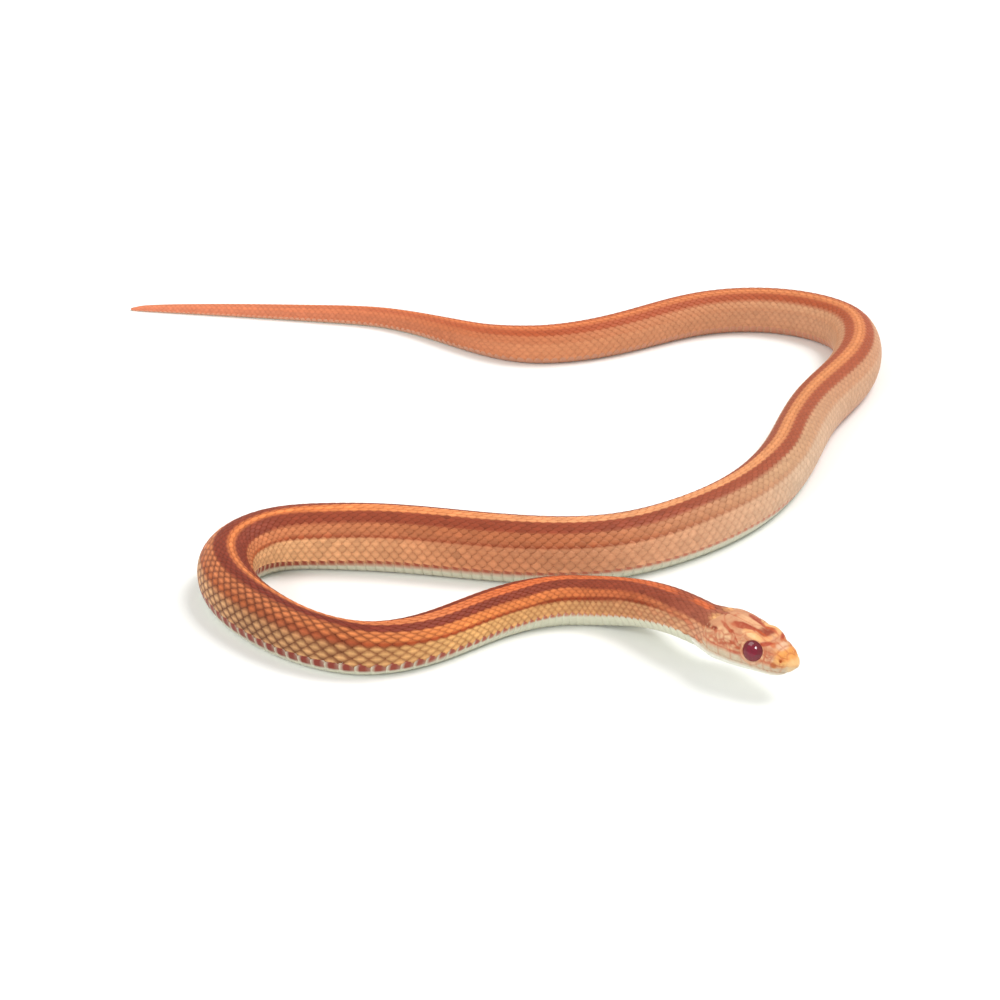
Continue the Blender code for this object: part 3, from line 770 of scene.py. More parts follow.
    def head(self, at: Array, angle: Array, place: Array) -> Array:
        """Colour of the head before its seams are drawn in.

        The edges of the blotches ripple by the product of two slanting waves.

        Args:
            at: Distances behind the snout.
            angle: Degrees from the middle of the back.
            place: The same places in the head's own frame.

        Returns:
            Linear colours, one row each.
        """
        turned = np.abs(angle - self.head_lean * (1 - smooth(*self.head_lean_fade, np.abs(angle))))
        colour = blend(linear(self.crown), linear(self.cheek), smooth(*self.crown_end, turned))
        colour = blend(colour, linear(self.lips), smooth(*self.lips_start, turned))
        colour = blend(colour, linear(self.chin), 1 - smooth(*self.chin_height, place[..., 2]))
        ripple = self.ripple * np.sin(3.1 * at + 0.21 * angle) * np.sin(2.3 * at - 0.33 * angle + 1)
        for mark in self.blotches:
            colour = blend(colour, linear(mark.colour), mark.share(at, turned, ripple))
        return colour * self.head_tone


@dataclass(frozen=True)
class Surface:
    """Points in millimetres with their faces and linear colours.

    A rim of 0 to 1 tells how near a point lies to a seam. The chart is the bake map, by point.
    """

    points: Array
    faces: list[Array]
    colours: Array
    rim: Array | None = None
    chart: Array | None = None

    def build(self, name: str, material: bpy.types.Material) -> bpy.types.Object:
        """Makes the mesh object, shaded smooth, with its colours, rim and bake map.

        Args:
            name: Name of the piece.
            material: Its finish.

        Returns:
            The piece.
        """
        mesh = bpy.data.meshes.new(name)
        index = np.concatenate([f.ravel() for f in self.faces]).astype(np.int32)
        size = np.concatenate([np.full(len(f), f.shape[1]) for f in self.faces]).astype(np.int32)
        mesh.vertices.add(len(self.points))
        mesh.vertices.foreach_set("co", (self.points * MM).astype(np.float32).ravel())
        mesh.loops.add(len(index))
        mesh.loops.foreach_set("vertex_index", index)
        mesh.polygons.add(len(size))
        mesh.polygons.foreach_set("loop_start", np.concatenate([[0], np.cumsum(size)[:-1]]).astype(np.int32))
        mesh.polygons.foreach_set("loop_total", size)
        mesh.update(calc_edges=True)
        rgba = np.column_stack([self.colours, np.ones(len(self.colours))]).astype(np.float32)
        mesh.attributes.new("shade", "FLOAT_COLOR", "POINT").data.foreach_set("color", rgba.ravel())
        if self.rim is not None:
            rim = mesh.attributes.new("rim", "FLOAT", "POINT")
            rim.data.foreach_set("value", self.rim.astype(np.float32).ravel())
        if self.chart is not None:
            chart = mesh.uv_layers.new(name="OFBake")
            chart.data.foreach_set("uv", self.chart[index].astype(np.float32).ravel())
        if mesh.validate():
            raise ValueError(f"{name} has faces that Blender had to mend")
        mesh.shade_smooth()
        mesh.materials.append(material)
        obj = bpy.data.objects.new(name, mesh)
        bpy.context.scene.collection.objects.link(obj)
        LOG.info("%s: %d points, %d triangles", name, len(self.points), int((size - 2).sum()))
        return obj


def plate_faces(rows: int, columns: int, count: int) -> tuple[list[Array], Array]:
    """Faces of many closed plates, each a grid of points with a lower rim under its edge.

    Args:
        rows: Points along a plate.
        columns: Points across a plate.
        count: How many plates.

    Returns:
        The faces, and which points of the grid lie over the points of the rim.
    """
    grid = np.arange(rows * columns).reshape(rows, columns)
    top = np.stack([grid[:-1, :-1], grid[:-1, 1:], grid[1:, 1:], grid[1:, :-1]], -1).reshape(-1, 4)
    edge = np.concatenate([grid[0, :-1], grid[:-1, -1], grid[-1, :0:-1], grid[:0:-1, 0]])
    rim = rows * columns + np.arange(len(edge))
    side = np.stack([edge, rim, np.roll(rim, -1), np.roll(edge, -1)], -1)
    start = (np.arange(count) * (rows * columns + len(edge)))[:, None, None]
    quads = (np.concatenate([top, side])[None] + start).reshape(-1, 4)
    return [quads, rim[::-1][None] + start[:, 0]], edge


@dataclass(frozen=True)
class Plates:
    """Many closed plates laid on the snake's surface, from one grid of places for each.

    The grids hold distances behind the snout, degrees from the middle of the back, heights over the
    form, linear colours, rims and bake map.
    """

    form: Form
    at: Array
    angle: Array
    raised: Array
    colours: Array
    rim: Array
    chart: Array
    sink: float = 0.05

    def surface(self) -> Surface:
        """The plates as one surface. Each has a lower rim that is sunk a little into the skin.

        Returns:
            The surface.
        """
        count, rows, columns = self.at.shape
        faces, edge = plate_faces(rows, columns, count)

        def rimmed(grid: Array) -> Array:
            """Values of a grid's points, and those of its edge once more for the lower rim."""
            flat = grid.reshape(count, rows * columns, *grid.shape[3:])
            return np.concatenate([flat, flat[:, edge]], 1)

        height = rimmed(self.raised)
        low = rimmed(-(SKIN_DEPTH + self.sink) * self.form.slim(self.at))
        height[:, rows * columns :] = low[:, rows * columns :]
        points = self.form.point(rimmed(self.at), rimmed(self.angle), height)
        colours, chart = rimmed(self.colours).reshape(-1, 3), rimmed(self.chart).reshape(-1, 2)
        return Surface(points.reshape(-1, 3), faces, colours, rimmed(self.rim).ravel(), chart)


@dataclass(frozen=True)
class Scales:
    """The scales of the back and flanks: overlapping rounded plates in rows."""

    form: Form
    counts: Counts
    markings: Markings
    seed: np.random.Generator
    pieces: int = 4
    # Where a scale's points lie from its root to its tip and from side to side, and how wide it is
    along_at: tuple[float, ...] = (0, 0.26, 0.5, 0.72, 0.89, 1)
    along_width: tuple[float, ...] = (0.5, 0.88, 1, 0.84, 0.52, 0.17)
    across_at: tuple[float, ...] = (-1, -0.5, 0, 0.5, 1)
    root: float = -0.62
    reach: float = 1.22
    fill: float = 0.93
    root_depth: float = -0.15
    rise: float = 0.12
    rise_power: float = 0.8
    dome: float = 0.06
    dome_span: Span = (0.06, 0.92)
    keel: float = 0.015
    keel_end: float = 0.95
    keel_sides: float = 50.0
    tip_gap: float = 0.05
    # The light middle of a scale, partly its own pale centre and partly a painted highlight on its dome: its place,
    # its reach and how much lighter it is
    glow_at: float = 0.66
    glow_along: float = 0.33
    glow_across: float = 0.66
    pale_middle_highlight_gain: float = 0.12
    rim_from: Span = (0.08, 0.85)
    # How much of its colour a scale has from its own middle instead of from each place
    own_share: float = 0.4
    # How unlike the scales are, and how much more so on the sides of the neck and less far off
    variety: float = 0.07
    neck_variety: float = 0.05
    far_variety: float = -0.045
    far: Span = (200, 280)
    neck_end: Span = (20, 38)
    neck_sides: Span = (46, 58)
    neck_patch: Colour = (168, 88, 60)
    neck_share: float = 0.55
    neck_tone: Span = (0.2, 1.2)
    # How far back the scales begin, and how much further back on the sides
    start: float = 14.9
    start_slant: float = 1.4
    start_arc: Span = (4, 60)
    start_lean: float = 4.0
    patch: float = 0.003

    @classmethod
    def first(cls, angle: Array) -> Array:
        """Distance behind the snout where the scales begin, behind the shields of the head."""
        return cls.start + cls.start_slant * smooth(*cls.start_arc, np.abs(angle - cls.start_lean))

    def roots(self) -> Array:
        """Where the scales lie.

        In each row there is one scale to each belly scute. A row starts half a scute behind the row
        above it. Rows widen towards the belly by a cubic. Where a row ends, the rows below it close
        up over a few millimetres.

        Returns:
            Rows of distance, angle, length of a scute, degrees between rows, and count of scutes.
        """
        edges = self.counts.scute_edges(self.form.length)
        at = np.linspace(edges[0] + 0.01, self.form.length - 0.6, 6000)
        count = np.interp(at, edges, np.arange(len(edges)))
        pitch = 1 / np.gradient(count, at)
        shares = [self.counts.presence(k, at) for k in range(self.counts.half_rows + 1)]
        total = 0.5 + sum(shares[1:])
        edge, even = along(self.counts.edge_angle, at), self.counts.crowding
        above, phase, found = np.full_like(at, -0.5), np.zeros_like(at), []
        for row, share in enumerate(shares):
            above = above + share
            phase = phase + (0.5 * share if row else 0)
            part = (above + 0.5 - share / 2) / total * (row > 0)
            angle = edge * (even * part + (1 - even) * part**3)
            step = edge / total * (even + 3 * (1 - even) * part**2)
            place = count - phase
            wanted = np.arange(math.ceil(place[0]), math.floor(place[-1]) + 1)
            where = np.interp(wanted, place, at)
            read = [np.interp(where, at, value) for value in (angle, pitch, step, count)]
            rows = np.stack([where, *read], -1)
            rows = rows[np.interp(where, at, share) > 0.5]
            found.append(rows)
            if row:
                found.append(rows * np.array([1, -1, 1, 1, 1]))
        roots = np.concatenate(found)
        roots = roots[roots[:, 0] > self.first(roots[:, 1])]
        return roots[np.argsort(roots[:, 0], kind="stable")]

    def colours(self, s: Array, angle: Array, at: Array, turned: Array, rim: Array, tone: Array) -> Array:
        """Colours of the scales' points, with dark seams on their rims and lighter middles that are partly painted
        highlight.

        Args:
            s: Distances of the scales behind the snout.
            angle: Degrees of the scales from the middle of the back.
            at: Distances of the points.
            turned: Degrees of the points.
            rim: How near the points are to the rim, from 0 to 1.
            tone: How light or dark the scales are, at random with a spread of 1.

        Returns:
            Linear colours, one row each.
        """
        marks, own = self.markings, self.own_share
        colour = own * marks.body(s, angle) + (1 - own) * marks.body(at, turned)
        colour = marks.threaded(colour, at, turned)
        neck = (1 - smooth(*self.neck_end, s)) * smooth(*self.neck_sides, np.abs(angle))
        patchy = self.neck_share * neck * smooth(*self.neck_tone, tone)
        colour = blend(colour, linear(self.neck_patch), patchy)
        varied = self.variety + self.neck_variety * neck + self.far_variety * smooth(*self.far, s)
        # Each scale's middle is lighter: partly its pale centre, partly a painted highlight
        colour = colour * ((1 + varied * tone) * (1 + self.pale_middle_highlight_gain * (1 - rim)))[..., None]
        return np.clip(blend(colour, marks.tint(Band.SEAM, at), marks.seam(s, angle) * rim), 0, 1)

    def build(self, material: bpy.types.Material) -> list[bpy.types.Object]:
        """Makes the scales as a few pieces from the neck to the tail.

        Args:
            material: Its finish.

        Returns:
            The pieces.
        """
        roots = self.roots()
        total = len(self.counts.scute_edges(self.form.length))
        made = []
        for number, part in enumerate(np.array_split(roots, self.pieces), 1):
            tone = self.seed.normal(0, 1, (len(part), 1, 1))
            a, width = (np.array(v)[None, :, None] for v in (self.along_at, self.along_width))
            b = np.array(self.across_at)[None, None, :]
            grids = np.broadcast_arrays(*(part[:, k, None, None] for k in range(5)), a, width, b, tone)
            s, angle, pitch, step, count, a, width, b, tone = grids
            at = np.minimum(s + pitch * (self.root + self.reach * a), self.form.length - self.tip_gap)
            turned = angle + b * width * step * self.fill
            start, span = self.dome_span
            bulge = self.dome * (1 - b**2) * np.sin(math.pi * np.minimum(a * span + start, 1))
            keel = self.keel * (b == 0) * (np.abs(angle) < self.keel_sides) * (a < self.keel_end)
            raised = self.root_depth + self.rise * a**self.rise_power + bulge + keel
            raised = raised * self.form.slim(s)
            # Where each scale's lighter middle lies, partly a painted highlight; the rest of the scale is rim
            glow = bell(b, self.glow_across) * bell(a, self.glow_along, self.glow_at)
            rim = smooth(*self.rim_from, 1 - glow)
            colours = self.colours(s, angle, at, turned, rim, tone)
            centre = np.stack([(angle + 180) / 360, count / total], -1)
            chart = centre + self.patch * np.stack([b / 2, a - 0.5], -1)
            leant = self.counts.leant(at, turned)
            plates = Plates(self.form, at, leant, raised, colours, rim, chart)
            made.append(plates.surface().build(f"scales_{number}", material))
        return made


@dataclass(frozen=True)
class BellyScutes:
    """The broad plates across the belly, and the pairs of small ones under the tail."""

    form: Form
    counts: Counts
    markings: Markings
    overlap: float = 0.5
    tail_gap: float = 1.5
    # Shares of its length that a scute reaches under the one ahead and over the next, and that its
    # rounded ends fall short, with the degrees over which they round
    lead: float = 0.3
    lap: float = 0.08
    corner: float = 0.3
    corner_turn: float = 11.0
    # Height of a scute's rear and of its front, the share of its length over which it rises, and
    # how far its two ends drop
    proud: float = -0.015
    recess: float = -0.11
    rise_span: Span = (-0.1, 0.45)
    end_drop: float = 0.05
    end_span: Span = (0.97, 1)
    rim_span: Span = (0.82, 1)
    rim_power: float = 8.0
    row_power: float = 0.9
    tail_end: float = 0.3
    tip_gap: float = 0.05
    # Half the belly's width in degrees behind the jaw, and where it has grown to the full width
    first_half: float = 30.0
    widens: Span = (12, 23)
    patch: float = 0.003

    def grid(self, first: Array, last: Array, low: Array, high: Array, rows: int, columns: int) -> Surface:
        """Plates from their front and rear edges and the angles of their ends.

        Args:
            first: Distances of the front edges.
            last: Distances of the rear edges.
            low: Angles where they start.
            high: Angles where they end.
            rows: Points along a plate.
            columns: Points across a plate.

        Returns:
            The plates as one surface.
        """
        a = np.linspace(0, 1, rows)[None, :, None] ** self.row_power
        c = np.sin(np.linspace(-0.5, 0.5, columns) * math.pi)[None, None, :]
        ends = (v[:, None, None] for v in (first, last, low, high))
        first, last, low, high, a, c = np.broadcast_arrays(*ends, a, c)
        pitch = last - first
        angle = (low + high) / 2 + (high - low) / 2 * c
        free = smooth(self.corner_turn, 0, from_back(angle) - along(self.counts.edge_angle, first))
        rear = last + pitch * (self.lap - self.corner * free**2)
        front = first - pitch * self.lead
        at = np.minimum(front + (rear - front) * a, self.form.length - self.tip_gap)
        share = (at - first) / pitch
        raised = self.recess + (self.proud - self.recess) * smooth(*self.rise_span, share)
        raised = (raised - self.end_drop * smooth(*self.end_span, np.abs(c))) * self.form.slim(at)
        share = np.clip(share, 0, 1)
        colours = np.clip(self.markings.below(at, angle, share), 0, 1)
        rim = np.maximum(np.abs(c) ** self.rim_power, smooth(*self.rim_span, share))
        edges = self.counts.scute_edges(self.form.length)
        count = np.interp(first, edges, np.arange(len(edges)))
        centre = np.stack([angle % 360 / 360, count / len(edges)], -1)
        chart = centre + self.patch * np.stack([0 * a, a - 0.5], -1)
        return Plates(self.form, at, angle, raised, colours, rim, chart).surface()

    def build(self, material: bpy.types.Material) -> list[bpy.types.Object]:
        """Makes the belly's plates and those under the tail.

        Args:
            material: Its finish.

        Returns:
            The pieces.
        """
        edges = self.counts.scute_edges(self.form.length - self.tail_end)
        first, last = edges[:-1], edges[1:]
        body = first < self.counts.vent - 0.5
        edge = along(self.counts.edge_angle, first) - self.overlap
        grown = smooth(*self.widens, first[body])
        half = self.first_half + (180 - self.first_half - edge[body]) * grown
        belly = self.grid(first[body], last[body], 180 - half, 180 + half, 5, 23)
        made = [belly.build("belly_scutes", material)]
        first, last = first[~body], last[~body]
        low, high = edge[~body], 180 - self.tail_gap + 0 * first
        for side, low, high in (("left", low, high), ("right", 360 - high, 360 - low)):
            surface = self.grid(first, last, low, high, 4, 9)
            made.append(surface.build(f"tail_scutes_{side}", material))
        return made


@dataclass(frozen=True)
class EyePlace:
    """Where the eyes sit: the middle of the rim, the axis out of the head, and their reach."""

    centre: Station = (12.65, 3.35, 5.1)
    axis: Station = (0.19, 0.91, 0.37)
    rim: float = 1.86
    opening: float = 1.77
    bulge: float = 0.66
    depth: float = 0.8

    def directions(self) -> tuple[Array, Array, Array]:
        """Forward, up and out at the eye on the left, square to each other.

        Returns:
            Three directions of length 1.
        """
        out = unit(np.array(self.axis))
        forward = unit(np.array([1.0, 0.0, 0.0]) - out[0] * out)
        return forward, np.cross(forward, out), out

    def around(self, form: Form, place: Array) -> tuple[Array, Array, Array]:
        """How places on the head lie to the eye's axis.

        Args:
            form: The snake's shape.
            place: Places in the head's own frame.

        Returns:
            Distances from the axis, heights over the rim, and how far up they lie, from -1 to 1.
        """
        forward, up, out = self.directions()
        joint = np.array([form.head_joint, 0.0, 0.0])
        gap = place * np.array([-1.0, 1.0, 1.0]) + joint - np.array(self.centre)
        rise = gap @ up
        far = np.hypot(gap @ forward, rise)
        return far, gap @ out, rise / np.maximum(far, 1e-6)


@dataclass(frozen=True)
class HeadDetail:
    """The seams between the shields of the head, in its charts, for one side."""

    crown: tuple[Stations, ...] = (
        ((1.85, 0), (5, 0)),
        ((9.7, 0), (15.1, 0)),
        ((1.85, 0), (1.75, 0.55), (1.3, 1.05)),
        ((3.1, 0), (3.1, 1), (2.9, 1.95)),
        ((1.3, 1.05), (1.9, 1.7), (2.9, 1.95), (3.6, 2.5), (4.9, 2.9)),
        ((5, 0), (5.2, 1.4), (5.3, 2.2), (4.9, 2.9)),
        ((5.3, 2.3), (5.6, 2.95), (7.2, 3.3), (8.8, 3.2), (9.3, 2.4)),
        ((5.2, 1.4), (6.6, 1.22), (8.2, 1.3), (9.3, 0.6), (9.7, 0)),
        ((8.3, 1.3), (9.3, 2.4), (9.6, 3.3), (11.4, 3.6), (13.6, 2.6), (14.9, 1.2), (15.1, 0)),
    )
    cheek: tuple[Stations, ...] = (
        ((1.3, 3.9), (1.5, 3.2), (1.75, 2.6)),
        ((3.3, 4.3), (3.2, 5.2), (2.95, 5.6)),
        ((1.8, 3.9), (1.85, 5.3)),
        ((4.4, 4.2), (4.35, 4.9), (3.25, 5)),
        ((4.35, 4.9), (4.9, 5.9)),
        ((9, 5), (10, 5.55), (11.2, 5.05), (12.1, 5.6), (13.1, 5.15), (14, 5.65), (15, 5.2)),
        ((9.3, 6.4), (10.3, 6.2), (11.1, 6.65), (12.3, 6.25), (13.2, 6.55), (14.1, 6.15), (15.2, 6.3)),
        ((10, 5.55), (10.3, 6.2)),
        ((12.1, 5.6), (12.3, 6.25)),
        ((14, 5.65), (14.1, 6.15)),
        ((11.2, 5.05), (10.9, 4.3)),
        ((13.1, 5.15), (12.9, 4.25)),
    )
    chin: tuple[Stations, ...] = (
        ((1.9, 0), (11.6, 0)),
        ((2, 0.8), (3.3, 1.1), (6.2, 1.5), (7, 0.7), (6.6, 0)),
        ((6.2, 1.5), (8.6, 2), (11.2, 1), (11.6, 0)),
    )
    upper_lips: tuple[float, ...] = (3, 4.35, 5.5, 6.6, 8.3, 10.3, 12.7, 15.2)
    upper_high: Stations = (
        (1.5, 3.8), (3, 3.95), (4.4, 4.2), (5.6, 3.6), (6.9, 3.2), (8.4, 3.7), (9.9, 4.3), (12.4, 4.2),
        (16.2, 4.4),
    )
    lower_lips: tuple[float, ...] = (2.2, 3.6, 5, 6.6, 8.4, 10.6, 13.2)
    lower_low: Stations = ((1.9, 1.95), (5, 1.6), (9, 1.35), (14, 1.5), (16, 2.1))
    mouth: Stations = (
        (0, 2.6), (1.9, 2.6), (4.4, 2.55), (7.4, 2.45), (10.4, 2.4), (13.4, 2.5), (15.6, 2.85), (16.8, 3.3),
    )
    nostril: Span = (1.85, 4.6)
    eye: EyePlace = EyePlace()
    step: float = 0.12

    def trace(self, form: Form, chart: Chart, line: Stations) -> Array:
        """Close-set points along a line of a chart, in the head's own frame.

        Args:
            form: The snake's shape.
            chart: The chart that the line is in.
            line: The corners of the line in that chart.

        Returns:
            Points, one row each.
        """
        ends = np.array(line, float)
        reach = np.concatenate([[0], np.cumsum(np.hypot(*np.diff(ends, axis=0).T))])
        t = np.linspace(0, reach[-1], max(int(reach[-1] / self.step), 2))
        at, other = (np.interp(t, reach, ends[:, k]) for k in (0, 1))
        finder = {Chart.CROWN: form.crown_angle, Chart.CHEEK: form.cheek_angle, Chart.CHIN: form.chin_angle}
        return form.head_place(at, finder[chart](at, other))

    def seams(self, form: Form) -> Array:
        """All the seams as points.

        Args:
            form: The snake's shape.

        Returns:
            Points, one row each.
        """
        cheek = (*self.cheek, self.upper_high, self.lower_low)
        charts = ((Chart.CROWN, self.crown), (Chart.CHEEK, cheek), (Chart.CHIN, self.chin))
        found = [self.trace(form, chart, line) for chart, lines in charts for line in lines]
        upper, lower = (self.upper_lips, self.upper_high, -0.1), (self.lower_lips, self.lower_low, 0.1)
        for places, edge, slant in (upper, lower):
            for at in places:
                start, end = float(along(self.mouth, at)), float(np.interp(at, *np.array(edge).T))
                found.append(self.trace(form, Chart.CHEEK, ((at + slant, start), (at - slant, end))))
        return np.concatenate(found)

    @staticmethod
    def nearest(places: Array, others: Array) -> Array:
        """Distance from each place to the nearest of the others.

        Args:
            places: Places in the head's own frame.
            others: Other places in that frame.

        Returns:
            One distance for each place.
        """
        best = np.full(len(places), 1e9)
        for start in range(0, len(others), 64):
            some = others[start : start + 64]
            gap = (places**2).sum(1)[:, None] + (some**2).sum(1)[None] - 2 * places @ some.T
            best = np.minimum(best, gap.min(1))
        return np.sqrt(np.maximum(best, 0))


@dataclass(frozen=True)
class Ridge:
    """A ridge, or a groove where it is negative: a bell curve of the distance from something.

    A power of 4 in place of 2 gives it a flat top and steep sides.
    """

    height: float
    width: float
    centre: float = 0.0
    power: int = 2

    def over(self, distance: Array) -> Array:
        """Its height at a distance."""
        return self.height * bell(distance, self.width, self.centre, self.power)


@dataclass(frozen=True)
class HeadPlaces:
    """Places on the head, and how they lie to its features.

    The seams, the mouth, the nostril and the rim of the eye are given by distance. Upward is the
    way a place lies from the eye's axis, from -1 below it to 1 above, and high is its height over
    the rim along that axis. Shields is 1 on the large shields and 0 behind them, where granule
    rises to 1 at the edges of the small scales.
    """

    at: Array
    angle: Array
    place: Array
    seam: Array
    mouth: Array
    nostril: Array
    eye: Array
    upward: Array
    high: Array
    shields: Array
    granule: Array


@dataclass(frozen=True)
class Skin:
    """One closed skin from the snout to the tail tip. It carries the shields of the head as relief."""

    form: Form
    counts: Counts
    markings: Markings
    detail: HeadDetail = HeadDetail()
    mottle: Colour = (188, 98, 68)
    # Painted shade: the dark colour of the hollow round the eye, under the rim of its clear scale
    cream: Colour = (240, 196, 150)
    socket: Colour = (120, 48, 44)
    head_rings: int = 210
    head_columns: int = 256
    body_columns: int = 64
    body_step: float = 1.15
    snout_ease: float = 0.15
    # Relief of the shields, the small scales behind them, the lips and the nostril
    swell: float = 0.07
    swell_reach: float = 0.75
    shield_level: float = -0.02
    # Where the shields end, a little further back on the sides and further forward on the chin
    shield_end: Span = (15.4, 17.6)
    shield_sides: Span = (30, 90)
    shield_under: Span = (100, 150)
    shield_slants: Span = (-0.5, 2.4)
    least_slope: float = 0.06
    granule_size: Span = (1.35, 17)
    granule_level: float = 0.03
    granule_groove: float = 0.09
    granule_edge: Span = (0.8, 1)
    seam: Ridge = Ridge(-0.075, 0.085)
    mouth: Ridge = Ridge(-0.24, 0.09)
    lip: Ridge = Ridge(0.05, 0.5)
    lower_lip: float = -0.6
    lips_end: float = 16.5
    nostril_rim: Ridge = Ridge(0.04, 0.16, 0.4)
    nostril_pit: Ridge = Ridge(-0.18, 0.3, power=4)
    snout_trim: Ridge = Ridge(-0.3, 1.5)
    snout_sides: Span = (100, 80)
    # The lid, by distance from the rim of the eye
    rim_drop: float = 0.1
    rim_high: Span = (0.5, 0.95)
    lid_level: float = 0.08
    lid: Ridge = Ridge(0.19, 0.25, 0.18)
    lid_groove: Ridge = Ridge(-0.06, 0.08, 0.62)
    brow: Ridge = Ridge(0.1, 0.36, 0.4)
    brow_side: Span = (0.2, 0.8)
    under_side: Span = (0.75, 0.5)
    socket_depth: float = 0.7
    socket_slope: float = -0.2
    orbit: Span = (0.2, 1.2)
    # Strength and width of what is drawn in colour
    eye_ring: Ridge = Ridge(0.45, 0.3, 0.34)
    ring_gain: float = 1.12
    lid_mark: Ridge = Ridge(0.35, 0.09, 0.6)
    seam_halo: Ridge = Ridge(1, 0.26)
    seam_mark: Ridge = Ridge(0.42, 0.11)
    seam_rim: Ridge = Ridge(1, 0.12)
    mouth_mark: Ridge = Ridge(0.38, 0.11)
    nostril_mark: Ridge = Ridge(0.9, 0.27, power=4)
    granule_mark: float = 0.45
    # The clouds: least share and how much more on the sides, of mottle, of cream and round seams
    mottle_share: Span = (0.1, 0.4)
    cream_share: Span = (0.06, 0.4)
    halo_share: Span = (0.2, 0.2)
    flank_from: Span = (34, 56)
    flank_to: Span = (90, 80)
    flank_front: Span = (2.6, 3.6)
    lip_fade: float = 0.45
    # How strongly painted shade darkens the hollow round the eye
    painted_socket_shade: float = 0.8
    scaled_share: float = 0.9
    chin_height: Span = (1.4, 2.6)
    # The closed front of the snout: how high the chin's skin starts and how far it drops
    chin_top: float = 3.7
    chin_drop: float = 1.5
    chin_reach: float = 2.2
    chin_end: float = 1.25
    # Where the skin sinks under the scales: behind their first ones, and near the joint
    sunk: Span = (-0.1, 1.2)
    sunk_sides: Span = (112, 98)
    joint: Span = (17.4, 19.2)
    joint_sides: Span = (118, 100)
    # Under the belly scutes: where the skin takes the belly's colour, with its painted shade, past the last scales,
    # and how much darker it is there
    pale_from: Span = (-2, 5)
    under_tone: float = 0.8
    tail_gap: float = 0.04

    def survey(self, at: Array, angle: Array) -> HeadPlaces:
        """Finds how places on the head lie to its features.

        The distance to the mouth is the height over its line, divided by the surface's slope. The
        small scales behind the shields are squares on two slanting sets of lines.

        Args:
            at: Distances behind the snout.
            angle: Degrees from the middle of the back.

        Returns:
            The places with what is known of them.
        """
        d, turned = self.detail, np.abs(angle)
        place = self.form.head_place(at, angle)
        behind, _, height = place.T
        slope = np.sqrt(np.maximum(1 - self.form.outward(at, angle)[:, 2] ** 2, self.least_slope))
        mouth, corner = np.abs(height - along(d.mouth, behind)) / slope, d.mouth[-1][0]
        mouth = np.where(behind < corner, mouth, np.hypot(mouth, behind - corner))
        far, high, upward = d.eye.around(self.form, place)
        side, under = self.shield_slants
        end = at + side * smooth(*self.shield_sides, turned) + under * smooth(*self.shield_under, turned)
        u, v = at / self.granule_size[0], angle / self.granule_size[1]
        return HeadPlaces(
            at, angle, place, d.nearest(place, d.seams(self.form)), mouth,
            d.nearest(place, d.trace(self.form, Chart.CHEEK, (d.nostril, d.nostril))),
            far - d.eye.opening + self.rim_drop * smooth(*self.rim_high, upward), upward, high,
            1 - smooth(*self.shield_end, end),
            2 * np.maximum(np.abs((u + v) % 1 - 0.5), np.abs((u - v) % 1 - 0.5)),
        )

    def relief(self, p: HeadPlaces) -> tuple[Array, Array]:
        """Height of the head's skin over the form, and the step along the eye's axis that shapes the lid.

        Seams are narrow grooves, and shields swell softly away from them. The mouth is a deeper
        groove under an upper lip that stands out. The nostril is a pit with a rim. Round the eye a
        lid laps its rim, and the skin sinks under it.

        Args:
            p: Places on the head.

        Returns:
            Heights and steps.
        """
        outward, forward = self.form.outward(p.at, p.angle), self.form.axes(p.at)[1]
        shield = self.swell * smooth(0, self.swell_reach, np.minimum(p.seam, p.mouth))
        shield = shield + self.shield_level + self.seam.over(p.seam)
        granule = self.granule_level - self.granule_groove * smooth(*self.granule_edge, p.granule)
        upper = p.place[:, 2] > along(self.detail.mouth, p.at)
        raised = shield * p.shields + granule * (1 - p.shields) + self.mouth.over(p.mouth)
        raised = raised + np.where(upper, 1, self.lower_lip) * self.lip.over(p.mouth) * (p.at < self.lips_end)
        raised = raised + self.nostril_rim.over(p.nostril) + self.nostril_pit.over(p.nostril)
        facing = np.einsum("ij,ij->i", outward, forward)
        trim = self.snout_trim.over(p.at) * (1 - facing**2)
        raised = raised + trim * smooth(*self.snout_sides, np.abs(p.angle))
        lid = self.lid_level + self.lid.over(p.eye) - self.socket_depth * smooth(0, self.socket_slope, p.eye)
        lid = lid + self.lid_groove.over(p.eye) * smooth(*self.under_side, p.upward)
        lid = lid + self.brow.over(p.eye) * smooth(*self.brow_side, p.upward)
        hold = 1 - smooth(*self.orbit, p.eye)
        return raised * (1 - hold), (lid - p.high) * hold

